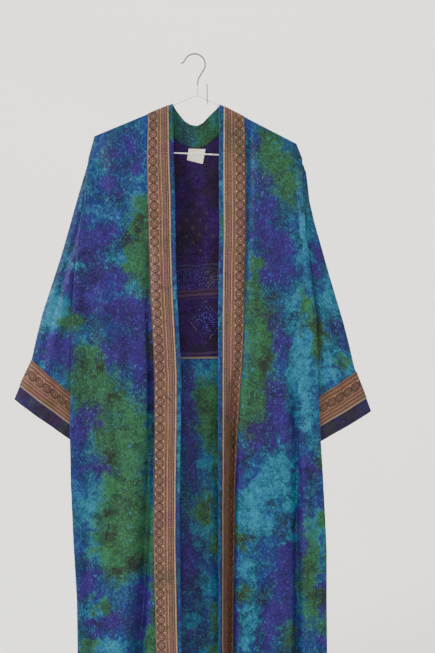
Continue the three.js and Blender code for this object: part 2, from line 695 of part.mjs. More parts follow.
const kimono = new THREE.Group();
function addMesh(name, geometry, paint) {
  const mesh = new THREE.Mesh(geometry, new THREE.MeshStandardMaterial(paint));
  mesh.name = name;
  kimono.add(mesh);
}

function addFront(name) {
  const full = frontGrid(name);
  const grid = name === 'left' ? full : full.map((row) => [...row].reverse());
  const normals = gridNormals(grid);
  addMesh(`front_${name}`, wallGeometry(grid, CLOTH, normals), PAINT.silk);

  const last = grid[0].length;
  const { first: near, last: far } = BORDER_COLUMNS;
  const range = name === 'left' ? [near, far + 1] : [last - 1 - far, last - near];
  const outward = normals[grid.length - 1][range[0]].y < 0 ? 1 : -1;
  const lift = outward * (CLOTH / 2 + SEAM_GAP + RIBBON / 2);
  const lifted = part(shifted(grid, normals, lift), [0], range);
  addMesh(`border_${name}`, wallGeometry(lifted, RIBBON, part(normals, [0], range)), PAINT.brocade);
}

function addSleeve(name) {
  const full = sleeveGrid(name);
  const grid = name === 'left' ? full : full.map((row) => [...row].reverse());
  const normals = gridNormals(grid);
  const slice = (from, to) => [part(grid, [from, to], [0]), part(normals, [from, to], [0])];
  const [sleeve, sleeveNormals] = slice(0, SLEEVE_ROW_COUNT);
  const [cuff, cuffNormals] = slice(SLEEVE_ROW_COUNT, grid.length);
  addMesh(`sleeve_${name}`, wallGeometry(sleeve, CLOTH, sleeveNormals), PAINT.silk);
  addMesh(`cuff_${name}`, wallGeometry(cuff, CLOTH, cuffNormals), PAINT.cuffSilk);

  const middle = Math.floor(grid[0].length / 4);
  const frontFaced = normals[BORDER_FIRST_ROW][middle].y < 0 === grid[0][middle].y < HANG_Y;
  const lift = (frontFaced ? 1 : -1) * (CLOTH / 2 + SEAM_GAP + RIBBON / 2);
  const lifted = shifted(grid, normals, lift).slice(BORDER_FIRST_ROW, BORDER_LAST_ROW + 1);
  const liftedNormals = normals.slice(BORDER_FIRST_ROW, BORDER_LAST_ROW + 1);
  addMesh(`cuff_border_${name}`, wallGeometry(lifted, RIBBON, liftedNormals), PAINT.brocade);
}

function addBack() {
  addMesh('back_upper', wallGeometry(backUpperGrid(), CLOTH), PAINT.silkBack);
  addMesh('back_lower', wallGeometry(backLowerGrid(), CLOTH), PAINT.silk);
}

function addCollar() {
  const grid = collarGrid();
  const normals = gridNormals(grid);
  addMesh('collar_back', wallGeometry(grid, BAND_CLOTH, normals), PAINT.silkCollar);
  const backward = normals[Math.floor(grid.length / 2)][0].y > 0 ? 1 : -1;
  const lift = backward * (BAND_CLOTH / 2 + SEAM_GAP + RIBBON / 2);
  const range = [0, COLLAR_COLUMNS.length - 1];
  const lifted = part(shifted(grid, normals, lift), [0], range);
  addMesh('border_neck', wallGeometry(lifted, RIBBON, part(normals, [0], range)), PAINT.brocade);
}

// Neck label, a little turned, on the inside of the back just under the neckband
const LABEL_CORNERS = {
  topLeft: { x: -41.2, z: -105.5 }, topRight: { x: -4.2, z: -106.5 },
  bottomLeft: { x: -45.2, z: -130 }, bottomRight: { x: -10.5, z: -138.5 },
};
const LABEL_STEPS = 4;
const LABEL_CLEARANCE = 0.5;
function addLabel() {
  const { topLeft, topRight, bottomLeft, bottomRight } = LABEL_CORNERS;
  const lift = CLOTH / 2 + LABEL_CLEARANCE + LABEL_CLOTH / 2;
  const grid = [];
  for (let i = 0; i <= LABEL_STEPS; i += 1) {
    const row = [];
    for (let j = 0; j <= LABEL_STEPS; j += 1) {
      const [down, across] = [i / LABEL_STEPS, j / LABEL_STEPS];
      const x = lerp(lerp(topLeft.x, topRight.x, across), lerp(bottomLeft.x, bottomRight.x, across), down);
      const z = lerp(lerp(topLeft.z, topRight.z, across), lerp(bottomLeft.z, bottomRight.z, across), down);
      row.push(backPoint(x, z, layerDepth(x, z, FOLDS.back) - lift));
    }
    grid.push(row);
  }
  addMesh('label', wallGeometry(grid, LABEL_CLOTH), PAINT.label);
}

// A wire's route: rings of its tube lie exactly at the route's points
class WireRoute extends THREE.Curve {
  constructor(points) {
    super();
    this.points = points;
  }

  getPoint(t) {
    const place = clamp01(t) * (this.points.length - 1);
    const i = Math.min(this.points.length - 2, Math.floor(place));
    return this.points[i].clone().lerp(this.points[i + 1], place - i);
  }

  getPointAt(t) {
    return this.getPoint(t);
  }

  getTangentAt(t) {
    return this.getTangent(t);
  }
}

const arcPoints = (centreX, centreZ, radius, fromDegrees, toDegrees, steps, y) =>
  Array.from({ length: steps + 1 }, (_, i) => {
    const angle = THREE.MathUtils.degToRad(lerp(fromDegrees, toDegrees, i / steps));
    return new THREE.Vector3(centreX + radius * Math.cos(angle), y, centreZ + radius * Math.sin(angle));
  });

function roundSection(radius, sides) {
  const shape = new THREE.Shape();
  for (let i = 0; i < sides; i += 1) {
    const angle = (2 * Math.PI * i) / sides;
    const [x, y] = [radius * Math.cos(angle), radius * Math.sin(angle)];
    if (i === 0) shape.moveTo(x, y);
    else shape.lineTo(x, y);
  }
  shape.closePath();
  return shape;
}

function wireGeometry(points, radius, sides) {
  const route = new WireRoute(points);
  const options = { steps: points.length - 1, extrudePath: route, bevelEnabled: false };
  return new THREE.ExtrudeGeometry(roundSection(radius, sides), options);
}

// Hook: an open ring over a short swan neck, its tip turned outwards
const HOOK = { x: -27, z: 74.8, radius: 23.2 };
const STEM_TOP = 30;
function addHook() {
  const at = (x, z) => new THREE.Vector3(x, HANG_Y, z);
  const route = [
    at(-20.8, STEM_TOP + SEAM_GAP), at(-20.2, 38), at(-18.4, 45.5), at(-14.6, 51),
    ...arcPoints(HOOK.x, HOOK.z, HOOK.radius, -46, 158, 18, HANG_Y),
    at(-50.4, 80.4), at(-53.2, 78.2), at(-57, 77.4),
  ];
  addMesh('hanger_hook', wireGeometry(route, HOOK_WIRE, 10), PAINT.steel);
}

// Frame: one loop of coated wire under the cloth's shoulder line, with its bar below
const ARM_DROP = 3.3;
const APEX = { left: -26.7, right: -17.9 };
const FRAME_ENDS = { left: -236, right: 186 };
const BAR = { left: -110.2, right: -127.4 };
const END_BULGE = 6.5;
const END_STEPS = 7;
function frameRoute() {
  const armAt = (x) => new THREE.Vector3(x, HANG_Y, shoulderHeight(x) - ARM_DROP / Math.cos(0.44));
  const apexHeight = Math.min(armAt(APEX.left).z, armAt(APEX.right).z);
  const endTurn = (x, topZ, bottomZ, sign) =>
    Array.from({ length: END_STEPS - 1 }, (_, i) => {
      const angle = (Math.PI * (i + 1)) / END_STEPS;
      const middle = (topZ + bottomZ) / 2;
      const half = (topZ - bottomZ) / 2;
      const turnedX = x + sign * END_BULGE * Math.sin(angle);
      return new THREE.Vector3(turnedX, HANG_Y, middle + half * Math.cos(angle));
    });
  const leftArm = armAt(FRAME_ENDS.left);
  const rightArm = armAt(FRAME_ENDS.right);
  return [
    new THREE.Vector3(APEX.left, HANG_Y, apexHeight),
    armAt(-75),
    armAt(-150),
    leftArm,
    ...endTurn(FRAME_ENDS.left, leftArm.z, BAR.left, -1),
    new THREE.Vector3(FRAME_ENDS.left, HANG_Y, BAR.left),
    new THREE.Vector3(CENTRE_X, HANG_Y, (BAR.left + BAR.right) / 2),
    new THREE.Vector3(FRAME_ENDS.right, HANG_Y, BAR.right),
    ...endTurn(FRAME_ENDS.right, rightArm.z, BAR.right, 1).reverse(),
    rightArm,
    armAt(100),
    armAt(27),
    new THREE.Vector3(APEX.right, HANG_Y, apexHeight),
  ];
}

// A tube round a closed flat loop of points
function loopGeometry(points, radius, sides) {
  const count = points.length;
  const positions = [];
  const index = [];
  points.forEach((point, i) => {
    const before = points[(i + count - 1) % count];
    const after = points[(i + 1) % count];
    const into = point.clone().sub(before).normalize();
    const outOf = after.clone().sub(point).normalize();
    const tangent = into.clone().add(outOf).normalize();
    const across = new THREE.Vector3(tangent.z, 0, -tangent.x);
    const widening = 1 / Math.max(0.5, tangent.dot(outOf));
    for (let j = 0; j < sides; j += 1) {
      const angle = (2 * Math.PI * j) / sides;
      const ring = point.clone().addScaledVector(across, radius * widening * Math.cos(angle));
      ring.y += radius * Math.sin(angle);
      positions.push(...ring.toArray());
    }
  });
  for (let i = 0; i < count; i += 1) {
    for (let j = 0; j < sides; j += 1) {
      const [a, b] = [i * sides + j, i * sides + ((j + 1) % sides)];
      const [c, d] = [((i + 1) % count) * sides + j, ((i + 1) % count) * sides + ((j + 1) % sides)];
      index.push(a, b, c, b, d, c);
    }
  }
  const geometry = new THREE.BufferGeometry();
  geometry.setAttribute('position', new THREE.Float32BufferAttribute(positions, 3));
  geometry.setIndex(index);
  return geometry;
}

function addFrame() {
  const route = frameRoute();
  addMesh('hanger_frame', loopGeometry(route, FRAME_WIRE, 10), PAINT.whiteWire);
  const stemBottom = route[0].z + FRAME_WIRE + SEAM_GAP;
  const at = (x, z) => new THREE.Vector3(x, HANG_Y, z);
  const stem = [at(-21.8, stemBottom), at(-21.3, (stemBottom + STEM_TOP) / 2), at(-20.8, STEM_TOP)];
  addMesh('hanger_stem', wireGeometry(stem, STEM_RADIUS, 10), PAINT.whiteWire);
}

// Wall hook: a shank out of the wall under the hanger's arm, bent square up in front of it
const WALL_HOOK_TOP = 32.6;
const WALL_HOOK_BEND = 2.6;
function addWallHook() {
  const upY = HANG_Y - FRAME_WIRE - SEAM_GAP - WALL_HOOK_WIRE - 0.2;
  const at = (y, z) => new THREE.Vector3(0, y, z);
  const bend = [0, 1, 2, 3, 4].map((i) => {
    const angle = (Math.PI / 2) * (i / 4);
    return at(
      upY + WALL_HOOK_BEND * (1 - Math.sin(angle)),
      SHANK_HEIGHT + WALL_HOOK_BEND * (1 - Math.cos(angle)),
    );
  });
  const route = [at(0, SHANK_HEIGHT), ...bend, at(upY, WALL_HOOK_TOP)];
  addMesh('wall_hook', wireGeometry(route, WALL_HOOK_WIRE, 12), PAINT.brass);
}

addBack();
addCollar();
addLabel();
['left', 'right'].forEach(addFront);
['left', 'right'].forEach(addSleeve);
addHook();
addFrame();
addWallHook();
kimono.position.z = -SHANK_HEIGHT;

export default kimono;
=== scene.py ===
"""Open kimono robe of over-dyed silk on a wire hanger: the looks, in the same frame as the CAD solids."""
import json

import bmesh
import bpy
import numpy as np
from bpy.props import FloatProperty, FloatVectorProperty, PointerProperty
from mathutils import Matrix, Vector, noise

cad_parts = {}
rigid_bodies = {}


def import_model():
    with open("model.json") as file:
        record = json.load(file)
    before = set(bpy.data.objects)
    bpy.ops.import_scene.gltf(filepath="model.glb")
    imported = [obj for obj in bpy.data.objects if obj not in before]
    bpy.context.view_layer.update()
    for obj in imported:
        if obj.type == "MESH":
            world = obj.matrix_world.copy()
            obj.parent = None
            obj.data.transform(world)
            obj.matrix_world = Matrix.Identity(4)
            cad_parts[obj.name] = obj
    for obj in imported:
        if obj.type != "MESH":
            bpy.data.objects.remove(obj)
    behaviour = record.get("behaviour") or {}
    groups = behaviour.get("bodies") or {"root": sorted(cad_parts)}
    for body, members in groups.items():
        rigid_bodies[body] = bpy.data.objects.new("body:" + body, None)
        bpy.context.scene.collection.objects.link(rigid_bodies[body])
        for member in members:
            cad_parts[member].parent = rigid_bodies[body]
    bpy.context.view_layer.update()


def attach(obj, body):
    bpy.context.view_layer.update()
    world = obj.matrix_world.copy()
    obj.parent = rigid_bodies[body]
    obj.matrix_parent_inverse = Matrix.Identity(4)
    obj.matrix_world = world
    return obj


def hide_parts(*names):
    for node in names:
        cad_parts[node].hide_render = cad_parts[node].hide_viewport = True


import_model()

bl_info = {
    "name": "Silk robe on a wire hanger",
    "version": (1, 0, 0),
    "blender": (4, 5, 0),
    "location": "View3D > Sidebar > Robe",
    "description": "Builds the robe's cloth, woven borders, stitching, hanger finishes and stage",
    "category": "Object",
}

# Millimetres, as in the tables of the solids. Left and right are the viewer's.
# The tables count heights from the hang height, which is this far above the frame's origin.
HANG_HEIGHT = 5.5
CLOTH, BAND_CLOTH, RIBBON, LABEL_CLOTH = 1.2, 1.8, 1.0, 0.8
SEAM_GAP, SEAM_HALF = 0.3, 0.65
STRIP_WIDTH, BORDER_WIDTH = 9.5, 49.0
CUFF_BORDER_WIDTH, CUFF_STRIP_WIDTH, CUFF_UNDER_BORDER = 64.0, 32.0, 12.0
CUFF_DEEP = CUFF_BORDER_WIDTH + CUFF_STRIP_WIDTH
SLEEVE_END = CUFF_DEEP - CUFF_UNDER_BORDER
HANG_Y, BODY_DEPTH = -24.0, 16.0
SHOULDER_ROLL, SHOULDER_SPREAD, OUTLINE_SPREAD = 3.0, 60.0, 45.0
ARMHOLE_TOP, SLEEVE_TOP, UNDERARM = -130.0, -141.0, -421.0
SLEEVE_BOTTOM = UNDERARM + 6
BACK_SEAM, HEM, CENTRE_X = -572.0, -1362.0, -22.0
FOLD_OPENS_IN, TURNED_SHARE, ROUND_SHARE, TURNED_POWER, EDGE_OPENS = 35.0, 0.625, 0.36, 4, 13.0
RELIEF_STARTS, RELIEF_FADES_AT_EDGE = 30.0, 14.0
ARMHOLE_LAP, GUSSET_HALF, UNDERARM_CLOSES = CLOTH + SEAM_GAP + 0.3, 0.75, 26.0
SLEEVE_DEPTH, CUFF_EXTRA_DEPTH, SLEEVE_ROLL, SLEEVE_SPREAD = 6.2, 5.5, 2.2, 30.0
NECK_LEAN, NECK_SEAM_DROP = 8.0, -1.2

# Each side of the body: rows of height, the front's opening edge, the side fold and the seam it hides
SIDES = {
    "left": {
        "sign": -1,
        "neck": (-75, -10),
        "tip": (-247, -81),
        "levels": [
            (-16, -74.5, -261, -258), (-130, -73.5, -261, -258), (-165, -72.5, -264.5, -251),
            (-228, -71, -269, -247), (-264, -71, -278, -246), (-329, -70.5, -286, -247),
            (-421, -68.5, -296, -249), (-538, -63, -300, -258), (-606, -60.5, -303, -263),
            (-724, -62, -307, -270), (-850, -64.5, -306, -270), (-978, -66, -302, -262),
            (-1106, -64.5, -296, -250), (-1224, -63, -296, -249), (-1362, -62, -295, -248),
        ],
    },
    "right": {
        "sign": 1,
        "neck": (27, -11),
        "tip": (196, -97),
        "levels": [
            (-16, 27, 209.5, 206.5), (-130, 24.5, 209.5, 206.5), (-165, 24.5, 207.5, 193),
            (-222, 24.5, 210, 186), (-289, 25, 215, 180), (-389, 22.5, 227, 176), (-425, 22, 232, 177),
            (-490, 21, 240, 183), (-627, 20, 243, 188), (-748, 19.5, 248, 197), (-826, 19.5, 253, 207),
            (-921, 19, 258, 215), (-1004, 19, 262, 223), (-1114, 18.5, 262, 225), (-1235, 18, 263, 226),
            (-1362, 18, 263, 226),
        ],
    },
}

# Large vertical folds: rows of height, middle, how far it stands out, and its reach to the left and right
FOLDS = {
    "front_left": [
        [(-60, -152, 0, 9, 9), (-440, -128, -2, 9, 8), (-724, -127, -7, 9, 8), (-1013, -142, -11, 13, 9),
         (-1222, -160, -15, 22, 13), (-1362, -164, -16, 24, 14)],
        [(-430, -150, 0, 40, 16), (-724, -152, 6, 40, 18), (-1013, -178, 8, 38, 22), (-1362, -212, 11, 34, 26)],
        [(-250, -238, 0, 14, 18), (-420, -262, -4, 14, 22), (-900, -268, -4, 13, 22), (-1362, -262, -6, 14, 20)],
        [(-200, -72, 0, 24, 20), (-700, -62, 4, 26, 20), (-1362, -62, 9, 34, 20)],
    ],
    "front_right": [
        [(-50, 92, -1, 6, 9), (-90, 93, -6, 7, 10), (-300, 88, -6, 8, 11), (-523, 76, -8, 12, 12),
         (-640, 61, -14, 14, 13), (-726, 55, -18, 14, 13), (-852, 50, -20, 14, 12), (-1106, 45, -22, 14, 12),
         (-1362, 41, -23, 13, 12)],
        [(-300, 24, 0, 20, 20), (-640, 20, 8, 20, 18), (-852, 18, 13, 20, 16), (-1362, 17, 15, 20, 15)],
        [(-140, 192, 0, 6, 5), (-165, 194, -3, 7, 5), (-289, 203, -4, 8, 5), (-400, 214, -3, 8, 6),
         (-480, 216, 0, 9, 7)],
        [(-500, 186, 0, 14, 9), (-724, 194, -9, 15, 9), (-1013, 196, -13, 16, 9), (-1362, 197, -14, 17, 9)],
        [(-860, 130, 0, 18, 14), (-1000, 128, -4, 20, 14), (-1362, 122, -7, 22, 16)],
        [(-430, 110, 0, 30, 30), (-900, 160, 3, 24, 20), (-1362, 160, 6, 22, 20)],
    ],
    "back": [
        [(-260, -190, 0, 30, 26), (-700, -205, 6, 28, 24), (-1362, -212, 7, 24, 22)],
        [(-420, -120, 0, 20, 18), (-800, -124, -5, 18, 16), (-1362, -132, -8, 20, 16)],
        [(-200, -20, 0, 40, 40), (-700, -26, 3, 34, 30), (-1362, -34, 6, 30, 26)],
        [(-500, 72, 0, 18, 20), (-900, 70, -6, 17, 18), (-1362, 62, -8, 18, 18)],
        [(-300, 150, 0, 28, 26), (-800, 168, 5, 24, 22), (-1362, 176, 7, 22, 20)],
    ],
}

# Soft creases laid over the folds: from x, z to x, z, how far they stand out and their reach
CREASES = {
    "front_left": [
        (-236, -100, -212, -330, -1.6, 11), (-205, -80, -196, -300, 1.3, 13), (-160, -60, -178, -250, -1.2, 10),
        (-148, -200, -150, -420, 1.2, 13), (-108, -330, -104, -720, 1.4, 9), (-100, -740, -98, -1362, 1.6, 10),
        (-182, -380, -176, -700, -2.2, 12), (-222, -460, -214, -860, 2.4, 15), (-246, -640, -240, -1100, -2.0, 10),
        (-200, -760, -204, -1160, -2.6, 12), (-166, -640, -170, -960, 1.8, 11), (-262, -980, -258, -1362, 2.0, 9),
        (-228, -1050, -232, -1362, -2.4, 10), (-178, -1120, -186, -1362, 2.0, 9), (-290, -470, -236, -520, -1.3, 8),
        (-131, -330, -128, -760, -5.5, 7), (-138, -800, -158, -1362, -4.5, 8), (-118, -440, -114, -900, 2.2, 6),
        (-194, -420, -188, -640, 2.0, 9), (-252, -700, -250, -960, 2.2, 8), (-214, -520, -206, -740, -2.2, 8),
        (-292, -600, -246, -640, -1.1, 9), (-262, -300, -214, -352, 1.0, 9),
    ],
    "front_right": [
        (112, -70, 128, -320, -1.2, 9), (140, -90, 150, -360, 1.4, 13), (172, -110, 178, -300, -1.4, 9),
        (146, -430, 148, -770, -2.2, 10), (166, -460, 170, -800, 2.6, 11), (124, -520, 112, -900, 1.6, 12),
        (100, -480, 92, -860, -1.4, 9), (222, -560, 226, -900, 1.8, 9), (212, -840, 214, -1362, 2.2, 8),
        (148, -900, 146, -1362, 1.8, 10), (104, -960, 98, -1362, 2.0, 11), (82, -880, 78, -1362, -2.0, 9),
        (240, -960, 244, -1362, -2.0, 8), (176, -1080, 174, -1362, -2.2, 8), (228, -470, 190, -512, -1.2, 8),
        (52, -620, 44, -1362, -4.0, 6), (66, -700, 62, -1362, 2.4, 6), (197, -640, 200, -1362, -5.0, 8),
        (184, -760, 184, -1300, 2.4, 7), (130, -560, 128, -860, -2.4, 8), (88, -640, 82, -900, 2.0, 8),
        (150, -200, 196, -236, -0.9, 8), (120, -356, 168, -372, 0.8, 8),
    ],
    "back": [
        (-230, -110, -214, -420, -1.6, 12), (-150, -90, -160, -480, 1.4, 15), (-84, -130, -92, -520, -1.3, 13),
        (40, -110, 44, -500, -1.4, 14), (112, -80, 124, -460, 1.5, 13), (176, -120, 168, -420, -1.4, 11),
        (-250, -480, -246, -980, 2.0, 12), (-168, -620, -172, -1362, -2.2, 14), (-84, -640, -90, -1362, 2.2, 13),
        (-4, -700, 6, -1362, -2.4, 13), (34, -600, 30, -1100, 1.8, 12), (112, -660, 108, -1362, 2.4, 14),
        (134, -820, 138, -1362, -2.0, 11), (212, -560, 216, -1180, -1.8, 11), (-222, -900, -226, -1362, -2.0, 11),
        (-60, -180, 12, -214, -1.2, 11), (-52, -226, 20, -262, 0.9, 12),
    ],
}

NECK_SEAM = [(-132, -33.5), (-104, -59), (-76, -82), (-60, -93.5), (-43, -101), (-22, -103.5), (-4, -100),
             (13, -88.5), (26, -77.5), (56, -58), (88, -42.1)]
NECK_EDGE = [(-75, -10), (-70, -20), (-62, -31), (-50, -46), (-37, -54.5), (-22, -57), (-9, -50), (1, -39),
             (13, -27), (21, -19.5), (27, -11)]
LABEL_CORNERS = ((-41.2, -105.5), (-4.2, -106.5), (-45.2, -130.0), (-10.5, -138.5))

# Sleeves: the folded top edge and the seam under the arm, from the armhole to the cuff
SLEEVES = {
    "left": {
        "top": [(-262.5, SLEEVE_TOP), (-273, -175), (-287, -221), (-309, -296), (-323, -343), (-340, -393),
                (-365, -467), (-381, -528), (-391, -572), (-411, -613), (-430, -657)],
        "under": [(-251, SLEEVE_BOTTOM), (-262, -455), (-274, -530), (-282, -640), (-289, -762)],
    },
    "right": {
        "top": [(210.5, SLEEVE_TOP), (217.5, -160), (221, -186), (225, -222), (235, -266), (270, -389),
                (301, -492), (315, -546), (326, -594), (345, -641), (364, -691)],
        "under": [(179, SLEEVE_BOTTOM), (192, -460), (204, -530), (207, -640), (212, -779)],
    },
}
# A sleeve's length for its ripples and their size, the share of its width and length over which they start at its
# edges, and how much of the folds its back shows
SLEEVE_RUN, SLEEVE_RIPPLE, SLEEVE_EDGE, SLEEVE_BACK_SHARE = 640, 30, 0.12, 0.6
# Sleeve folds: place across it at the armhole and at the cuff, how far out, reach as a share of the width
SLEEVE_FOLDS = [
    (0.74, 0.62, 2.6, 0.07), (0.82, 0.8, -2.2, 0.05), (0.56, 0.44, -1.6, 0.05), (0.4, 0.3, 1.4, 0.06),
    (0.9, 0.92, 1.0, 0.03), (0.66, 0.72, -1.0, 0.03),
]

# Dye patches seen from the front: middle and half size in steps of the front view, then strength. Some narrow, long
# violet and olive patches are painted shade in fold valleys beside the borders and on the right strip, marked below.
# A step is VIEW_STEP millimetres on the fronts, counted from the view's top left corner.
VIEW_STEP = {"front": (2.208, -459.5, 212.4), "back": (2.24, -471.4, 238.9)}
PATCHES = {
    "violet": [
        (128, 136, 9, 10), (135, 161, 9, 9), (105, 179, 8, 7), (99, 225, 16, 10), (92, 243, 12, 9),
        (96, 268, 16, 12), (119, 272, 9, 8), (81, 293, 11, 11), (122, 302, 22, 11), (149, 300, 8, 13),
        (138, 346, 20, 15), (110, 341, 14, 12), (140, 368, 10, 10), (144, 390, 9, 8), (86, 406, 12, 14),
        (74, 424, 7, 18), (95, 458, 18, 7), (83, 568, 11, 9), (81, 585, 9, 7), (105, 615, 14, 12),
        (86, 620, 7, 8), (138, 585, 7, 10), (135, 615, 10, 20), (76, 235, 7, 18), (67, 270, 8, 12),
        (79, 290, 6, 10), (50, 334, 12, 10), (63, 345, 10, 14), (39, 352, 8, 10, 0.7), (74, 411, 5, 10),
        # Painted shade: (149, 312) and (151, 400) in the fold valley beside the left border, (226, 500) in the valley
        # beside the right border
        (149, 312, 5, 36), (151, 400, 4, 50, 0.7), (226, 500, 4, 90, 0.6), (112, 150, 8, 10, 0.7),
        (118, 188, 9, 7, 0.6), (134, 318, 10, 24, 0.7), (262, 185, 10, 26, 0.6), (108, 300, 9, 16, 0.6),
        # Painted shade: (297, 480) in the deep fold valley of the right front
        (297, 480, 4, 60, 0.8), (171, 150, 3, 18), (172, 255, 3, 12), (178, 520, 4, 35), (179, 600, 4, 30),
        # Painted shade: (221, 252) where the right strip beside the border lies in shadow
        (221, 252, 3, 14),
        (254, 139, 5, 9), (258, 172, 6, 6, 0.7), (265, 200, 9, 8), (256, 221, 7, 12), (271, 234, 11, 12),
        (267, 262, 13, 15, 1.1), (284, 239, 7, 7, 0.8), (289, 262, 6, 8, 0.8), (278, 334, 9, 14),
        (267, 312, 6, 8), (269, 388, 11, 20), (250, 425, 11, 12), (284, 425, 8, 14, 0.8), (268, 408, 14, 12),
        (255, 432, 14, 12), (234, 452, 5, 10), (233, 471, 5, 10), (308, 464, 11, 10), (315, 495, 8, 5),
        # Painted shade: (299, 497) in the deep fold valley of the right front
        (299, 497, 3, 30, 0.8), (284, 550, 12, 12), (280, 577, 13, 14), (268, 610, 10, 14), (283, 602, 10, 10),
        (262, 634, 8, 14), (233, 561, 4, 10, 0.7), (229, 618, 5, 20), (321, 577, 5, 8), (320, 602, 4, 8),
        # Painted shade: (300, 545) in the deep fold valley of the right front
        (296, 626, 7, 10, 0.8), (320, 639, 5, 8), (300, 545, 3, 25, 0.8), (313, 252, 4, 16), (320, 248, 5, 8),
        (333, 318, 9, 12, 0.7), (342, 336, 5, 8, 0.6), (335, 362, 10, 6, 0.6), (308, 384, 5, 7, 0.6),
    ],
    "green": [
        (144, 225, 9, 26), (137, 257, 10, 16), (149, 255, 4, 30), (140, 208, 8, 12, 0.8), (85, 352, 14, 16),
        (80, 372, 9, 12, 0.8), (149, 338, 5, 12), (102, 424, 11, 10), (104, 441, 9, 8, 0.9), (130, 420, 12, 16),
        (117, 484, 14, 14), (126, 491, 9, 16), (121, 507, 14, 18), (117, 535, 16, 14), (137, 542, 7, 12),
        (112, 563, 16, 9, 0.8), (98, 599, 9, 6), (110, 392, 22, 12, 0.7), (83, 641, 6, 9), (152, 545, 3, 30, 0.9),
        (148, 640, 5, 14, 0.8), (70, 311, 7, 12), (60, 314, 6, 6, 0.7), (171, 118, 3, 12), (222, 221, 3, 14),
        (263, 135, 9, 10), (271, 150, 10, 8, 0.8), (287, 180, 9, 10), (280, 160, 8, 8, 0.7), (254, 252, 6, 8),
        (250, 284, 6, 18), (254, 317, 9, 20), (243, 393, 9, 18), (243, 420, 6, 14), (313, 330, 5, 16),
        (302, 300, 5, 14, 0.8), (239, 410, 7, 10), (236, 532, 8, 7, 0.8), (307, 569, 7, 14), (308, 593, 8, 16),
        (286, 631, 7, 9), (320, 622, 5, 10), (326, 545, 3, 14),
        (90, 385, 22, 26, 0.8), (120, 450, 22, 24, 0.7), (118, 520, 24, 34, 0.9), (256, 345, 12, 44, 0.9),
        (250, 395, 12, 26, 0.9), (140, 240, 12, 30, 0.8), (270, 160, 16, 22, 0.6), (150, 610, 6, 60, 0.7),
        (306, 560, 9, 44, 0.6), (318, 453, 5, 14, 0.8), (239, 589, 8, 5, 0.7),
        (321, 513, 5, 10, 0.7), (314, 335, 5, 14), (339, 355, 6, 8, 0.7),
    ],
    "turquoise": [
        (96, 159, 14, 14, 0.3), (137, 180, 14, 14, 0.3), (105, 200, 20, 16, 0.2), (71, 255, 8, 9, 0.8),
        (113, 252, 12, 12, 0.6), (128, 284, 16, 9, 0.7), (83, 498, 12, 12), (95, 542, 16, 12), (107, 476, 12, 9),
        (86, 606, 10, 7), (104, 641, 14, 10), (126, 403, 12, 9, 0.8), (147, 640, 6, 16, 0.8), (90, 330, 8, 6, 0.6),
        (69, 254, 6, 10), (50, 290, 10, 14), (45, 314, 10, 12), (58, 302, 9, 9), (44, 367, 12, 8, 0.8),
        (173, 285, 3, 22), (176, 430, 4, 50), (297, 360, 13, 45), (302, 230, 8, 40, 0.8), (292, 300, 10, 20, 0.7),
        (262, 345, 5, 20, 0.6), (247, 368, 5, 14, 0.7), (276, 456, 14, 16), (271, 473, 18, 20), (247, 490, 14, 14),
        (244, 513, 16, 14), (257, 522, 10, 12, 0.8), (284, 500, 10, 12, 0.8), (305, 413, 10, 16),
        (239, 561, 12, 12), (244, 610, 10, 16), (239, 639, 8, 12, 0.8), (289, 529, 9, 7), (310, 526, 8, 18),
        (315, 513, 5, 12), (327, 296, 10, 26), (348, 356, 7, 10), (330, 347, 12, 10, 0.9), (323, 369, 14, 8),
        (326, 278, 6, 14, 0.9), (219, 171, 3, 20), (219, 305, 3, 16),
    ],
    "olive": [
        # Painted shade: the first three, in the fold valley beside the left border
        (149, 335, 4, 34, 0.9), (151, 430, 3.5, 60, 0.8), (152, 590, 4, 50, 0.7), (124, 232, 6, 7),
        (140, 215, 7, 5, 0.8), (92, 328, 7, 7), (96, 359, 6, 8), (119, 371, 12, 5, 0.8),
        (110, 383, 10, 5, 0.8), (104, 445, 6, 5), (130, 559, 8, 8), (112, 563, 14, 7, 0.8), (102, 509, 6, 5),
        (104, 525, 5, 5), (78, 548, 5, 7), (94, 619, 5, 5), (267, 291, 10, 4), (267, 312, 5, 5, 0.7),
        (262, 356, 5, 8), (302, 317, 9, 4, 0.8), (249, 447, 5, 8), (242, 453, 4, 6), (258, 503, 3.5, 5),
        (269, 495, 4, 5.5), (286, 518, 12, 5), (275, 527, 6, 6), (236, 534, 8, 7, 0.9), (249, 532, 8, 4, 0.8),
        (258, 590, 9, 8), (236, 590, 6, 4), (312, 500, 7, 4), (315, 590, 4, 8, 0.9), (288, 647, 7, 6),
        (316, 318, 6, 10, 0.8), (96, 268, 7, 5, 0.7), (82, 296, 6, 6, 0.8), (122, 330, 10, 8, 0.6),
    ],
}
BACK_PATCHES = {
    "violet": [
        (187, 380, 9, 12, 0.8), (186, 415, 8, 40), (190, 470, 6, 14), (186, 560, 9, 40), (190, 640, 12, 10, 0.7),
    ],
    "green": [
        (212, 420, 8, 22), (214, 395, 6, 8, 0.8), (207, 408, 12, 26), (199, 511, 9, 14), (215, 470, 5, 20, 0.7),
        (214, 545, 5, 12), (215, 630, 4, 20, 0.8),
    ],
    "turquoise": [
        (206, 374, 18, 12), (200, 392, 10, 10), (197, 530, 11, 14), (205, 590, 10, 12, 0.7),
        (188, 629, 10, 14, 0.8), (205, 460, 5, 20, 0.6),
    ],
    "olive": [(206, 505, 4, 10, 0.6), (196, 404, 8, 4, 0.6)],
}
DYES = ("violet", "green", "turquoise", "olive")
# The view ends at these heights: the patches give way to others over SEEN_FADE. Of the back it shows a strip.
FRONT_SEEN_TO, BACK_SEEN_TO, SEEN_FADE = -1230, -1260, 60
STRIP_MIDDLE, STRIP_HALF, STRIP_FADE = -20, 74, 24
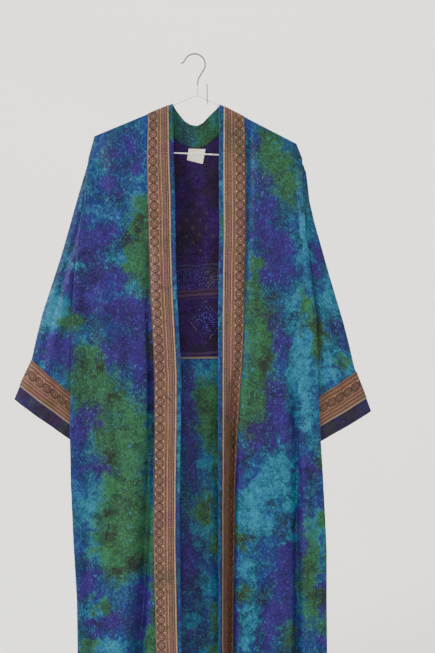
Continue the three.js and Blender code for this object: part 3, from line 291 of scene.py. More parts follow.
# Where each piece lies on the cloth before cutting, in millimetres, so that no two show the same dye
CLOTH_AT = {"front_left": 0, "front_right": 700, "back": 1500, "sleeve_left": 2600, "sleeve_right": 3500,
            "neckband": 4400}
# Where the smooth noise of each is read
RIPPLE_AT = {"front_left": 3.1, "front_right": 8.7, "back": 5.3, "sleeve_left": 2.2, "sleeve_right": 6.4}
TORN_AT = {"front": 1.7, "back": 9.1}
DRIFT_AT = {"front": 4.0, "sleeve": 6.0, "upper_back": 31.0, "lower_back": 52.0, "cuff": 71.0, "neckband": 88.0}


def linear(code, alpha=1.0):
    """An sRGB hex colour as the linear values that Blender works in."""
    parts = [int(code[i : i + 2], 16) / 255 for i in (1, 3, 5)]
    return tuple(c / 12.92 if c <= 0.04045 else ((c + 0.055) / 1.055) ** 2.4 for c in parts) + (alpha,)


def lerp(a, b, t):
    return a + (b - a) * t


def ease(t):
    s = np.clip(t, 0, 1)
    return s * s * (3 - 2 * s)


def at_height(rows, z, column):
    """Value of a column at a height, in a table whose rows run downwards."""
    return np.interp(-np.asarray(z, float), [-row[0] for row in rows], [row[column] for row in rows])


def spread(distance, roll, full, reach):
    """Depth of cloth that rolls over an edge and then spreads to its full depth."""
    d = np.maximum(distance, 0)
    rounded = np.sqrt(np.maximum(0, roll**2 - (roll - np.minimum(d, roll)) ** 2))
    return np.maximum(SEAM_HALF, rounded + (full - roll) * (1 - np.exp(-np.maximum(0, d - roll) / reach)))


def shoulder_height(x):
    lines = []
    for side in SIDES.values():
        (x0, z0), (x1, z1) = side["neck"], side["tip"]
        lines.append(z0 + (np.asarray(x, float) - x0) * (z1 - z0) / (x1 - x0))
    return np.minimum(*lines)


def outline_x(side, z):
    above = lerp(side["tip"][0], side["levels"][0][2],
                 np.clip((side["tip"][1] - z) / (side["tip"][1] - ARMHOLE_TOP), 0, 1))
    return np.where(np.asarray(z) >= ARMHOLE_TOP, above, at_height(side["levels"], z, 2))


def edge_depth(z):
    opened = 1 - np.exp(-np.maximum(0, ARMHOLE_TOP - z) / FOLD_OPENS_IN)
    return np.where(np.asarray(z) >= ARMHOLE_TOP, 0, SHOULDER_ROLL + (BODY_DEPTH - SHOULDER_ROLL) * opened)


def fold_radius(z):
    return edge_depth(z) * (1 - TURNED_SHARE) / 2


def fold_relief(folds, x, z):
    total = np.zeros(np.broadcast(x, z).shape)
    for rows in folds:
        offset = x - at_height(rows, z, 1)
        reach = np.where(offset < 0, at_height(rows, z, 3), at_height(rows, z, 4))
        total = total + at_height(rows, z, 2) * np.exp(-((offset / reach) ** 2))
    return total


def layer_depth(x, z, folds):
    """Depth of the front or back layer from the hang plane."""
    below = shoulder_height(x) - z
    on_left = np.asarray(x) < CENTRE_X
    left, right = SIDES["left"], SIDES["right"]
    inward = np.maximum(0, np.where(on_left, x - outline_x(left, z), outline_x(right, z) - x))
    from_top = spread(below, SHOULDER_ROLL, BODY_DEPTH, SHOULDER_SPREAD)
    from_edge = np.maximum(spread(inward, SHOULDER_ROLL, BODY_DEPTH, OUTLINE_SPREAD), edge_depth(z))
    fade = ease(below / RELIEF_STARTS) * ease(inward / RELIEF_FADES_AT_EDGE)
    return np.minimum(from_top, from_edge) + fold_relief(folds, x, z) * fade


def armhole_depth(z):
    from_end = np.minimum(SLEEVE_TOP - z, z - UNDERARM)
    return np.where(from_end < 0, 0, spread(from_end, SLEEVE_ROLL, SLEEVE_DEPTH, SLEEVE_SPREAD))


def seam_depth(z):
    if z >= ARMHOLE_TOP:
        return SEAM_HALF
    if z >= UNDERARM:
        return armhole_depth(z) + ARMHOLE_LAP
    return lerp(ARMHOLE_LAP, GUSSET_HALF, ease((UNDERARM - z) / UNDERARM_CLOSES))


def side_run(side, z, s, folds):
    """Cloth round the side fold and back inwards to the hidden seam: x and depth for s from 0 to 1."""
    sign, depth, radius = side["sign"], edge_depth(z), fold_radius(z)
    centre = outline_x(side, z) - sign * radius
    rolled_x = outline_x(side, z) - sign * SHOULDER_ROLL * (1 - s) ** 2
    rolled_depth = layer_depth(rolled_x, z, folds)
    if z >= ARMHOLE_TOP:
        return rolled_x, rolled_depth
    angle = np.pi * np.minimum(s, ROUND_SHARE) / ROUND_SHARE
    run = np.maximum(0, (s - ROUND_SHARE) / (1 - ROUND_SHARE))
    is_round = s <= ROUND_SHARE
    turned_x = lerp(centre, at_height(side["levels"], z, 3), run)
    turned_depth = lerp(depth * TURNED_SHARE, seam_depth(z), run**TURNED_POWER)
    x = np.where(is_round, centre + sign * radius * np.sin(angle), turned_x)
    d = np.where(is_round, depth - radius + radius * np.cos(angle), turned_depth)
    opened = ease((ARMHOLE_TOP - z) / EDGE_OPENS)
    return lerp(rolled_x, x, opened), lerp(rolled_depth, d, opened)


ROW_STEP = 4.2
RUN_STEPS = np.concatenate([np.linspace(0, ROUND_SHARE, 9)[1:], np.linspace(ROUND_SHARE, 1, 12)[1:]])
TOP_DROPS = (0, 0.9, 2, 3.5, 5.5, 8)
TOP_ROWS = 24
# Points across a front: the strip beside the opening, the border, the rest, and those that measure its length
STRIP_POINTS, BORDER_POINTS, SILK_POINTS, MEASURING_POINTS = 5, 20, 56, 260
BORDER_COLUMNS = slice(STRIP_POINTS - 1, STRIP_POINTS + BORDER_POINTS - 1)
BACK_COLUMNS, LOWER_BACK_STEP = 112, 4.6
SLEEVE_HALF_POINTS, SLEEVE_ROWS, UNDER_BORDER_ROWS, CUFF_ROWS = 44, 118, 5, 30
# Creases and ripples start over this height below a top edge, and keep this share where the side fold starts
DETAIL_STARTS, DETAIL_AT_FOLD = 20.0, 0.8
# Creases sway to either side by this share of their reach
SWAY_SHARE, SWAY_LENGTH = 0.35, 38
# Ripples: their size across, how much longer they are down the cloth, their height, and the finer ones on top
RIPPLE_SIZE, RIPPLE_STRETCH, RIPPLE_HEIGHT, FINE_SHARE, FINE_ACROSS, FINE_DOWN = 46.0, 2.6, 0.9, 0.35, 13, 21
# Torn edges of the patches, in steps of the view: size, middle value, and how far they reach
TEAR_SIZE, TEAR_MIDDLE, TEAR_ACROSS, TEAR_DOWN = 9, 0.4, 9.0, 11.0
# The turbulence that tears them starts from the clock unless it is given a seed
TEAR_SEED = 5
# Patches: how much they take at most, how fast they thin out, and the most of any dye
PATCH_TAKES, PATCH_THINS, MOST_DYE = 0.92, 0.85, 1.1
# Drifting patches: size across and down, step from one dye's noise to the next, contrast and level
DRIFT_ACROSS, DRIFT_DOWN, DRIFT_STEP, DRIFT_CONTRAST, DRIFT_LEVEL = 74, 92, 9.7, 2.4, 0.38


def rows_between(top, bottom, step=ROW_STEP):
    return np.linspace(top, bottom, int(round((top - bottom) / step)) + 1)


def top_zone(top_x, top_z, low_x):
    """Rows from a piece's top edge down to the armhole's top: x and z of each point."""
    rows = [top_z - drop for drop in TOP_DROPS]
    rows += [lerp(top_z - TOP_DROPS[-1], ARMHOLE_TOP, k / TOP_ROWS) for k in range(1, TOP_ROWS)]
    shares = [(top_z - z) / (top_z - ARMHOLE_TOP) for z in rows]
    return np.array([lerp(top_x, low_x, t) for t in shares]), np.array(rows)


def crease_relief(creases, x, z):
    """Soft creases: each is a line that sways a little and fades beyond both ends."""
    total = np.zeros(np.broadcast(x, z).shape)
    for x0, z0, x1, z1, out, reach in creases:
        length = np.hypot(x1 - x0, z1 - z0)
        along = ((x - x0) * (x1 - x0) + (z - z0) * (z1 - z0)) / length
        across = ((x - x0) * (z1 - z0) - (z - z0) * (x1 - x0)) / length
        beyond = np.maximum(0, np.maximum(-along, along - length))
        sway = reach * SWAY_SHARE * np.sin(along / SWAY_LENGTH + x0)
        total += out * np.exp(-((beyond / (2 * reach)) ** 2) - ((across + sway) / reach) ** 2)
    return total


def ripple(x, z, seed, size=RIPPLE_SIZE):
    """Uneven lie of thin silk, longer down the cloth than across it, with a finer one on top."""
    values = [
        noise.noise(Vector((a / size, b / (size * RIPPLE_STRETCH), seed)))
        + FINE_SHARE * noise.noise(Vector((a / FINE_ACROSS, b / FINE_DOWN, seed)))
        for a, b in zip(np.ravel(x), np.ravel(z))
    ]
    return RIPPLE_HEIGHT * np.array(values).reshape(np.shape(x))


def run_length(points):
    """Distance along a line of points, from its start to each of them."""
    return np.concatenate([[0], np.cumsum(np.linalg.norm(np.diff(points, axis=0), axis=1))])


def panel_end(side, z):
    """Where a panel's flat part ends and its side fold begins."""
    roll = SHOULDER_ROLL if z >= ARMHOLE_TOP else 0
    return outline_x(side, z) - side["sign"] * (fold_radius(z) + roll)


def run_fade(columns, both_ends=False):
    """Share of the creases in each column: they die out round the side fold, towards the hidden seam."""
    fade, falling = np.ones(columns), np.linspace(DETAIL_AT_FOLD, 0, len(RUN_STEPS))
    fade[-len(falling):] = falling
    if both_ends:
        fade[: len(falling)] = falling[::-1]
    return fade


def front_grid(name):
    """Points of a front: columns by cloth distance from the opening edge, then round the side fold."""
    side, folds = SIDES[name], FOLDS[f"front_{name}"]
    heights = rows_between(ARMHOLE_TOP, HEM)
    near = np.concatenate([np.linspace(0, STRIP_WIDTH, STRIP_POINTS),
                           np.linspace(STRIP_WIDTH, STRIP_WIDTH + BORDER_WIDTH, BORDER_POINTS)[1:]])
    xs, us = [], []
    for z in heights:
        x = lerp(at_height(side["levels"], z, 1), panel_end(side, z), np.linspace(0, 1, MEASURING_POINTS))
        depth = layer_depth(x, z, folds)
        length = run_length(np.column_stack([x, depth]))
        distances = np.concatenate([near, np.linspace(near[-1], length[-1], SILK_POINTS)[1:]])
        main_x = np.interp(distances, length, x)
        run_x, run_depth = side_run(side, z, RUN_STEPS, folds)
        run = run_length(np.column_stack([np.append(main_x[-1], run_x), np.append(depth[-1], run_depth)]))
        xs.append((main_x, run_x, run_depth))
        us.append(np.concatenate([distances, length[-1] + run[1:]]))
    low_x = np.concatenate(xs[0][:2])
    top_x = lerp(side["neck"][0], side["tip"][0], (low_x - low_x[0]) / (low_x[-1] - low_x[0]))
    upper_x, upper_z = top_zone(top_x, shoulder_height(top_x), low_x)
    low_z = np.repeat(heights[:, None], len(low_x), axis=1)
    main_depth = layer_depth(np.array([row[0] for row in xs]), low_z[:, : len(xs[0][0])], folds)
    depth = np.vstack([layer_depth(upper_x, upper_z, folds), np.hstack([main_depth, [row[2] for row in xs]])])
    x, z = np.vstack([upper_x, [np.concatenate(row[:2]) for row in xs]]), np.vstack([upper_z, low_z])
    u = np.vstack([np.repeat(us[:1], len(upper_x), 0), us])
    fade = ease((shoulder_height(x) - z) / DETAIL_STARTS) * run_fade(x.shape[1])
    detail = crease_relief(CREASES[f"front_{name}"], x, z) + ripple(u, z, RIPPLE_AT[f"front_{name}"])
    return x, z, depth + detail * fade, u


def back_section(z):
    """One level of the back, from seam to seam: x and depth."""
    left, right = SIDES["left"], SIDES["right"]
    x = lerp(panel_end(left, z), panel_end(right, z), np.linspace(0, 1, BACK_COLUMNS))
    folds = FOLDS["back"]
    runs = [side_run(side, z, RUN_STEPS, folds) for side in (left, right)]
    return [np.concatenate([runs[0][k][::-1], middle, runs[1][k]])
            for k, middle in enumerate((x, layer_depth(x, z, folds)))]


def back_grid(heights, with_top):
    """Points of the upper back, from its neck and shoulders, or of the lower back."""
    x, depth = np.array([back_section(z) for z in heights]).transpose(1, 0, 2)
    z = np.repeat(heights[:, None], x.shape[1], axis=1)
    fade = run_fade(x.shape[1], both_ends=True)
    if with_top:
        low = x[0]
        top_x = lerp(SIDES["left"]["tip"][0], SIDES["right"]["tip"][0], (low - low[0]) / (low[-1] - low[0]))
        seam = np.interp(top_x, [p[0] for p in NECK_SEAM], [p[1] for p in NECK_SEAM]) - NECK_SEAM_DROP
        in_neck = (top_x >= NECK_SEAM[0][0]) & (top_x <= NECK_SEAM[-1][0])
        upper_x, upper_z = top_zone(top_x, np.where(in_neck, seam, shoulder_height(top_x)), low)
        x, z = np.vstack([upper_x, x]), np.vstack([upper_z, z])
        depth = np.vstack([layer_depth(upper_x, upper_z, FOLDS["back"]), depth])
        fade = ease((z[:1] - z) / DETAIL_STARTS) * fade
    detail = crease_relief(CREASES["back"], x, z) + ripple(x, z, RIPPLE_AT["back"])
    return x, z, depth + detail * fade


def along_line(points, share):
    """Place at a share of a line's length, and that length."""
    p = np.array(points, float)
    length = run_length(p)
    at = np.clip(share, 0, 1) * length[-1]
    return np.interp(at, length, p[:, 0]), np.interp(at, length, p[:, 1]), length[-1]


def sleeve_plan(name, u, v):
    """x and z on a sleeve: u from the armhole to the cuff, v from the under seam to the top fold."""
    top, under = SLEEVES[name]["top"], SLEEVES[name]["under"]
    tx, tz, _ = along_line(top, u)
    ux, uz, _ = along_line(under, u)
    seam_z = lerp(under[0][1], top[0][1], v)
    line_x = lerp(under[0][0], top[0][0], v)
    bend = (1 - u) ** 3 * np.sqrt(np.maximum(0, np.sin(np.pi * np.clip(v, 0, 1))))
    return lerp(ux, tx, v) + (at_height(SIDES[name]["levels"], seam_z, 3) - line_x) * bend, lerp(uz, tz, v)


def sleeve_grid(name, rows):
    """Sleeve points for rows of (distance from the cuff's edge, share): right round from the under seam."""
    half = 0.5 - 0.5 * np.cos(np.linspace(0, np.pi, SLEEVE_HALF_POINTS))
    v = np.concatenate([half, half[:-1][::-1]])[None, :]
    in_front = (np.arange(v.size) < len(half))[None, :]
    distance, share = rows.T[:, :, None]
    lengths = [along_line(SLEEVES[name][edge], 0)[2] for edge in ("under", "top")]
    u = share * (1 - distance / lerp(lengths[0], lengths[1], v))
    x, z = sleeve_plan(name, u, v)
    ax, az = sleeve_plan(name, u, np.zeros_like(u))
    bx, bz = sleeve_plan(name, u, np.ones_like(u))
    width = np.hypot(ax - bx, az - bz)
    full = SLEEVE_DEPTH + CUFF_EXTRA_DEPTH * ease(u * 1.3) * ease((v - 0.35) / 0.4)
    depth = spread(np.minimum(v, 1 - v) * width, SLEEVE_ROLL, full, SLEEVE_SPREAD)
    shown = np.sin(np.pi * np.clip(u * 0.8 + 0.12, 0, 1)) * np.where(in_front, 1, SLEEVE_BACK_SHARE)
    for at_armhole, at_cuff, out, reach in SLEEVE_FOLDS:
        depth = depth + out * shown * np.exp(-(((v - lerp(at_armhole, at_cuff, u)) / reach) ** 2))
    edge = ease(np.minimum(v, 1 - v) / SLEEVE_EDGE) * ease(u / SLEEVE_EDGE)
    depth = depth + ripple(v * width, u * SLEEVE_RUN, RIPPLE_AT[f"sleeve_{name}"], SLEEVE_RIPPLE) * edge
    depth = np.where(v >= 1, 0, depth)
    around = np.where(in_front, v, 2 - v) * width
    return x, HANG_Y + np.where(in_front, -depth, depth), z, around


def outward_normals(points, row, column, towards):
    """Normals of a grid, all turned so that the one named faces the viewer (-1) or the wall (1)."""
    down, across = np.gradient(points, axis=0), np.gradient(points, axis=1)
    n = np.cross(down, across)
    n /= np.maximum(1e-9, np.linalg.norm(n, axis=2, keepdims=True))
    return -n if n[row, column, 1] * towards < 0 else n


def put(x, y, z):
    """Table millimetres to points of the frame, in metres."""
    return np.stack([x, np.broadcast_to(y, np.shape(x)), z + HANG_HEIGHT], axis=-1) / 1000


def patch_field(patches, plane, x, z, seed):
    """How much of each dye the cloth took, and the painted shade that some violet and olive patches lay in fold
    valleys, from the listed patches, with torn edges.
    """
    noise.seed_set(TEAR_SEED)
    step, x0, z0 = VIEW_STEP[plane]
    column, row = (x - x0) / step, (z0 - z) / step
    torn = [noise.turbulence_vector(Vector((a / TEAR_SIZE, b / TEAR_SIZE, seed)), 3, False)[:2]
            for a, b in zip(column.ravel(), row.ravel())]
    torn = np.array(torn).reshape(column.shape + (2,)) - TEAR_MIDDLE
    column, row = column + TEAR_ACROSS * torn[..., 0], row + TEAR_DOWN * torn[..., 1]
    fields = []
    for dye in DYES:
        missed = np.ones(column.shape)
        for patch in patches[dye]:
            cx, cy, rx, ry, strength = (*patch, 1.0)[:5]
            near = ((column - cx) / rx) ** 2 + ((row - cy) / ry) ** 2
            missed *= 1 - PATCH_TAKES * strength * np.exp(-PATCH_THINS * near)
        fields.append(MOST_DYE * (1 - missed))
    return np.stack(fields, axis=-1)


def drift_field(x, z, seed, amounts=(1.0, 0.85, 0.9, 0.6)):
    """Dyes on the sides that the front view hides: patches of like sizes, drawn from smooth noise."""
    fields = []
    for k, amount in enumerate(amounts):
        values = [noise.fractal(Vector((a / DRIFT_ACROSS, b / DRIFT_DOWN, seed + DRIFT_STEP * k)), 0.9, 2.1, 3)
                  for a, b in zip(x.ravel(), z.ravel())]
        fields.append(amount * ease(np.array(values).reshape(x.shape) * DRIFT_CONTRAST + DRIFT_LEVEL))
    return np.stack(fields, axis=-1)


def placed(name, data):
    """A new object of the scene."""
    thing = bpy.data.objects.new(name, data)
    bpy.context.scene.collection.objects.link(thing)
    return thing


def sheet_object(name, points, uv, thickness, material, dye=None):
    """A cloth piece: a grid moved to its points, with its flat place on the cloth as UV map, and its thickness."""
    rows, columns = points.shape[:2]
    shape = bmesh.new()
    bmesh.ops.create_grid(shape, x_segments=columns - 1, y_segments=rows - 1, size=0.5)
    mesh = bpy.data.meshes.new(name)
    shape.to_mesh(mesh)
    shape.free()
    mesh.vertices.foreach_set("co", points.reshape(-1).astype(np.float32))
    corner = np.zeros(len(mesh.loops), np.int32)
    mesh.loops.foreach_get("vertex_index", corner)
    layer = mesh.uv_layers.new(name="cloth")
    layer.data.foreach_set("uv", (uv.reshape(-1, 2)[corner] / 1000).ravel().astype(np.float32))
    if dye is not None:
        # On the fronts this attribute also carries painted shade in fold valleys, from the patch table
        attribute = mesh.attributes.new("dye", "FLOAT_COLOR", "POINT")
        attribute.data.foreach_set("color", np.clip(dye, 0, 1.2).reshape(-1).astype(np.float32))
    mesh.polygons.foreach_set("use_smooth", np.ones(len(mesh.polygons), bool))
    mesh.materials.append(material)
    mesh.update()
    piece = placed(name, mesh)
    wall = piece.modifiers.new("wall", "SOLIDIFY")
    wall.thickness, wall.offset, wall.use_rim = thickness, 0, True
    return piece


def ribbon_lift(cloth=CLOTH):
    """From the middle of a cloth to the middle of the ribbon that lies on it, in metres."""
    return (cloth / 2 + SEAM_GAP + RIBBON / 2) / 1000


def uv_of(u, v):
    return np.stack(np.broadcast_arrays(np.asarray(u, float), np.asarray(v, float)), axis=-1)


def settle(piece, node):
    """Attach a cloth piece to its body and hide the CAD node that it stands in for."""
    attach(piece, "root")
    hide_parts(node)
    return piece


class Finish:
    """A new material, and short ways to add nodes to it. Each gives an output of the new node."""

    def __init__(self, name):
        self.material = bpy.data.materials.new(name)
        self.material.use_nodes = True
        self.tree = self.material.node_tree
        self.tree.nodes.clear()
        self.colour = None

    def add(self, kind, inputs=(), out=0, stops=None, **settings):
        """Add a node with its settings, set or link its inputs, and give one of its outputs, or all of them."""
        node = self.tree.nodes.new(f"ShaderNode{kind}")
        for key, value in settings.items():
            setattr(node, key, value)
        if stops:
            ramp = node.color_ramp
            ramp.interpolation = stops[0]
            while len(ramp.elements) < len(stops) - 1:
                ramp.elements.new(0.5)
            for element, stop in zip(ramp.elements, stops[1:]):
                element.position = stop[0]
            for element, stop in zip(ramp.elements, stops[1:]):
                element.color = stop[1]
        for key, value in dict(inputs).items():
            if isinstance(value, bpy.types.NodeSocket):
                self.tree.links.new(value, node.inputs[key])
            else:
                node.inputs[key].default_value = value
        return node.outputs if out is None else node.outputs[out]

    def mm(self):
        """The cloth's own place in millimetres, from its UV map."""
        return self.scaled(self.add("UVMap", uv_map="cloth"), (1000, 1000, 1000))

    def scaled(self, place, size):
        return self.add("VectorMath", {0: place, 1: size}, operation="MULTIPLY")

    def dot(self, place, size):
        return self.add("VectorMath", {0: place, 1: size}, out=1, operation="DOT_PRODUCT")

    def length(self, place):
        return self.add("VectorMath", {0: place}, out=1, operation="LENGTH")

    def noise(self, place, scale, detail=2.0, rough=0.5, distortion=0.0, out=0):
        return self.add("TexNoise", {"Vector": place, "Scale": scale, "Detail": detail, "Roughness": rough,
                                     "Distortion": distortion}, out)

    def times(self, a, b):
        return self.add("Math", {0: a, 1: b}, operation="MULTIPLY")

    def off_middle(self, value):
        """How far a noise is from its middle value."""
        return self.add("Math", {0: self.add("Math", {0: value, 1: 0.5}, operation="SUBTRACT")}, operation="ABSOLUTE")

    def total(self, base, *terms):
        """A base number and each value times its factor, added up."""
        for value, factor in terms:
            base = self.add("Math", {0: value, 1: factor, 2: base}, operation="MULTIPLY_ADD")
        return base

    def ranged(self, value, low=0.0, high=1.0, to_low=0.0, to_high=1.0, **settings):
        return self.add("MapRange", {0: value, 1: low, 2: high, 3: to_low, 4: to_high}, **settings)

    def grown(self, value, low, high, top=1.0):
        """0 at low, rising softly to top at high. It falls where low is the larger."""
        return self.ranged(value, low, high, to_high=top, interpolation_type="SMOOTHSTEP")

    def ramp(self, value, *stops, out=0):
        return self.add("ValToRGB", {0: value}, out, stops)

    def blend(self, factor, a, b, mode="MIX"):
        return self.add("Mix", {0: factor, 6: a, 7: b}, out=2, data_type="RGBA", blend_type=mode)

    def paint(self, ink, factor):
        """Lay an ink on the colour so far."""
        self.colour = self.blend(factor, self.colour, ink)

    def dye(self, ink, limits, *sum_of):
        """Lay an ink on the colour so far, as a base and its terms rise between the limits."""
        self.paint(ink, self.grown(self.total(*sum_of), *limits))

    def near(self, place, middle, half):
        """Place within a repeat: millimetres from its middle, which comes again every two halves."""
        moved = self.add("VectorMath", {0: place, 1: tuple(-m for m in middle)}, operation="ADD")
        return self.add("VectorMath", {0: moved, 1: half, 2: tuple(-h for h in half)}, operation="WRAP")

    def diamond(self, place, middle, half, size):
        """Distance from the middle of each repeat, measured so that equal distances lie on a diamond."""
        near = self.near(place, middle, half)
        return self.dot(self.add("VectorMath", {0: near}, operation="ABSOLUTE"), size)

    def bump(self, height, strength, distance):
        return self.add("Bump", {"Height": height, "Strength": strength, "Distance": distance})

    def close(self, roughness, normal, **sockets):
        """Close the material with the Principled shader. Constants stand on its own sockets."""
        inputs = {"Base Color": self.colour, "Roughness": roughness, "Normal": normal}
        inputs.update({key.replace("_", " "): value for key, value in sockets.items()})
        self.add("OutputMaterial", {"Surface": self.add("BsdfPrincipled", inputs)}, out=None)
        return self.material


def silk_material(name, ground, inks, cover=(0.5, 1.6), motifs=None, gloss=0.12):
    """Mulberry silk, plain woven and over-dyed by hand: soft lustre, washes of dye that run into each other,
    a darker dye that took along a crackle of threads 2 to 5 mm wide and closes in the middle of each patch,
    and thin dark veins where the tied cloth was creased."""
    silk = Finish(name)
    mm = silk.mm()
    violet, green, turquoise, olive, pale, dark, indigo = inks
    # The violet and olive channels of the dye attribute also carry painted shade from narrow patches in fold valleys
    dye = silk.add("Attribute", attribute_name="dye", out=None)
    of_violet, of_green, of_turquoise = silk.add("SeparateColor", {0: dye["Color"]}, out=None)[:3]
    of_olive = dye["Alpha"]
    slant_mm = silk.scaled(mm, (1.2, 0.72, 1))
    fine = silk.noise(slant_mm, 0.11, 2.0, 0.6, 0.7)
    grain = silk.noise(slant_mm, 0.2, 2.0, 0.6, 0.5)
    clump = silk.noise(mm, 0.05, 2.0, 0.6, 1.2)
    broad = silk.noise(mm, 0.018, 2.5, 0.55, 0.8)
    feather = silk.noise(silk.scaled(mm, (0.3, 0.075, 1)), 1.0, 2.5, 0.65, 1.8)
    cross = silk.noise(silk.scaled(mm, (0.085, 0.26, 1)), 1.0, 2.0, 0.6, 2.2)
    slub = silk.noise(silk.scaled(mm, (0.12, 0.7, 1)), 1.0)
    # How far a point is from the crackle's threads, wide and narrow, and from a stroke along the weft
    wide, narrow, line = (silk.off_middle(value) for value in (fine, grain, cross))
    # Washes
    silk.colour = ground[0]
    silk.dye(ground[1], (0.43, 0.58), 0.0, (broad, 0.6), (clump, 0.4))
    silk.dye(turquoise, (0.05, 0.9, 0.9), -0.95, (of_turquoise, 1.0), (clump, 1.3), (feather, 0.6))
    wash = silk.total(-0.9, (of_green, 1.25), (clump, 1.1), (feather, 0.8))
    silk.dye(silk.blend(0.4, turquoise, green), (-0.1, 0.5, 0.75), wash)
    silk.dye(green, (0.1, 0.8, 0.95), wash)
    # The darker dye and the olive dye; both also lay the painted shade that the violet and olive channels carry in
    # fold valleys
    silk.dye(silk.blend(silk.grown(of_violet, 0.15, 0.8), indigo, violet), (-0.3, 0.4, 0.96), cover[0] - 1.55,
             (wide, -9.0), (narrow, -8.0), (clump, 1.7), (feather, 1.9), (of_violet, cover[1]), (of_green, -0.9),
             (of_turquoise, -0.9))
    silk.dye(olive, (-0.25, 0.3, 0.85), -1.75, (narrow, -8.0), (feather, 1.8), (of_olive, 1.5), (of_green, 0.75))
    # Light flecks in the middle of the crackle's cells, and dark ones along its threads
    silk.dye(pale, (0.0, 0.8, 0.5), -1.3, (wide, 8.0), (narrow, 4.0), (of_violet, -0.1), (of_olive, -0.6),
             (of_turquoise, -0.5))
    silk.dye(dark, (-0.3, 0.2, 0.8), -0.95, (narrow, -15.0), (clump, 1.4), (of_violet, 0.6), (of_olive, 0.6),
             (of_green, 0.3), (of_turquoise, -0.5))
    # Short dark strokes where the dye ran along the weft, about 3 by 12 mm
    silk.dye(silk.blend(of_green, dark, olive), (-0.4, 0.2, 0.88), -0.7, (line, -15.0), (broad, 1.6),
             (of_green, 0.3), (of_olive, 0.5), (of_violet, 0.15))
    shadow = silk.ranged(silk.total(0.0, (clump, 0.5), (grain, 0.5)), 0.4, 0.6, 0.56, 1.3)
    silk.colour = silk.add("VectorMath", {0: silk.colour, 3: shadow}, operation="SCALE")
    # Veins of about 1.5 mm
    bend = silk.noise(mm, 0.05, 3.0, out=1)
    warped = silk.add("VectorMath", {0: bend, 1: (38, 38, 0), 2: mm}, operation="MULTIPLY_ADD")
    veins = silk.add("TexVoronoi", {"Vector": warped, "Scale": 0.05, "Randomness": 1.0}, feature="DISTANCE_TO_EDGE")
    where = silk.grown(silk.total(0.0, (broad, 1.0), (of_green, 0.12)), 0.53, 0.64)
    silk.paint(dark, silk.times(silk.grown(veins, 0.055, 0.0, 0.8), where))
    if motifs:
        motifs(silk, mm)
    # Thread relief: the threads are 0.2 mm apart, drawn as slubs of about 1.5 by 8 mm so that they show
    relief = silk.bump(silk.total(0.0, (slub, 0.6), (grain, 0.8)), 0.2, 0.0006)
    return silk.close(silk.ranged(slub, 0.3, 0.7, 0.42, 0.56), relief, IOR=1.54, Specular_IOR_Level=gloss,
                      Sheen_Weight=0.02, Sheen_Roughness=0.4, Sheen_Tint=(0.6, 0.75, 1.0, 1.0))


# Thin stripes across the brocade: where each begins, in millimetres, its ink and its strength, 0 between them
STRIPES = (
    (-620, "#000000", 0), (-560, "#2c2048", 0.6), (-556, "#000000", 0), (-551, "#3a2c48", 0.6), (-547, "#000000", 0),
    (-428, "#32222e", 0.5), (-424, "#000000", 0), (-420, "#44302e", 0.6), (-414, "#2a1c2c", 0.7),
    (-409, "#403030", 0.5), (-405, "#000000", 0), (-364, "#2a2446", 0.5), (-360, "#000000", 0),
    (-356, "#302a4c", 0.5), (-351, "#000000", 0),
)
STRIPES_FROM, STRIPES_TO = -620, -320


def brocade_motifs(silk, mm):
    """Supplementary weft on the dark cloth: a few small sprigs, bands of thin stripes that sag with the cloth,
    a close dotted band and a row of dotted diamonds."""
    grey = {share: linear("#" + share * 3) for share in ("00", "10", "a0", "b0", "c8", "d0")}
    sag = silk.dot(mm, (-0.03, 1.0, 0))
    height = silk.total(1.0, (sag, 1.0), (silk.noise(mm, 0.02), 18.0))
    worn = silk.noise(mm, 0.16, distortion=0.8)
    # Sprigs 30 by 34 mm apart, only between the shoulder blades and half worn away
    for middle in ((-18, -262, 0), (-3, -245, 0)):
        sprig = silk.ramp(silk.diamond(mm, middle, (15, 17, 1), (0.24, 0.18, 0)), "LINEAR", (0.1, grey["b0"]),
                          (0.35, grey["10"]), (0.6, grey["10"]), (0.78, grey["c8"]), (0.92, grey["a0"]),
                          (1.0, grey["00"]))
        part = silk.times(silk.grown(sag, -352, -338), silk.grown(sag, -215, -260))
        part = silk.times(part, silk.grown(worn, 0.44, 0.6))
        silk.paint(linear("#5c5034"), silk.times(part, sprig))
    stops = (((z - STRIPES_FROM) / (STRIPES_TO - STRIPES_FROM), linear(*ink)) for z, *ink in STRIPES)
    bands = silk.ramp(silk.ranged(height, STRIPES_FROM, STRIPES_TO), "CONSTANT", *stops, out=None)
    silk.paint(bands[0], bands[1])
    # The pale selvedge that meets the lower back
    across, down, _ = silk.add("SeparateXYZ", {0: mm}, out=None)
    silk.dye(linear("#6a6250"), (BACK_SEAM + 5.5, BACK_SEAM + 4, 0.8), down)
    # Dots 4 mm apart: a diamond 74 by 106 mm in each repeat, its dotted outline, and the band between the stripes
    dots = silk.add("TexVoronoi", {"Vector": mm, "Scale": 0.25, "Randomness": 0.6})
    dot = silk.times(silk.grown(dots, 0.5, 0.2), silk.ranged(worn, 0.35, 0.6, 0.3))
    size = silk.diamond(mm, (-5, -489, 0), (56, 90, 1), (1 / 37, 1 / 53, 0))
    low = silk.times(dot, silk.grown(height, -426, -434))
    silk.paint(linear("#40468c"), silk.times(low, silk.grown(size, 0.78, 0.6, 0.85)))
    edge = silk.ramp(size, "LINEAR", (0.82, grey["00"]), (0.88, grey["d0"]), (0.96, grey["d0"]), (1.0, grey["00"]))
    silk.paint(linear("#686880"), silk.times(low, edge))
    inside = silk.times(silk.grown(height, -404, -401, 0.75), silk.grown(height, -362, -366))
    band_ink = silk.blend(silk.grown(across, -30, 10), linear("#3c3a84"), linear("#5c6040"))
    silk.paint(band_ink, silk.times(dot, inside))


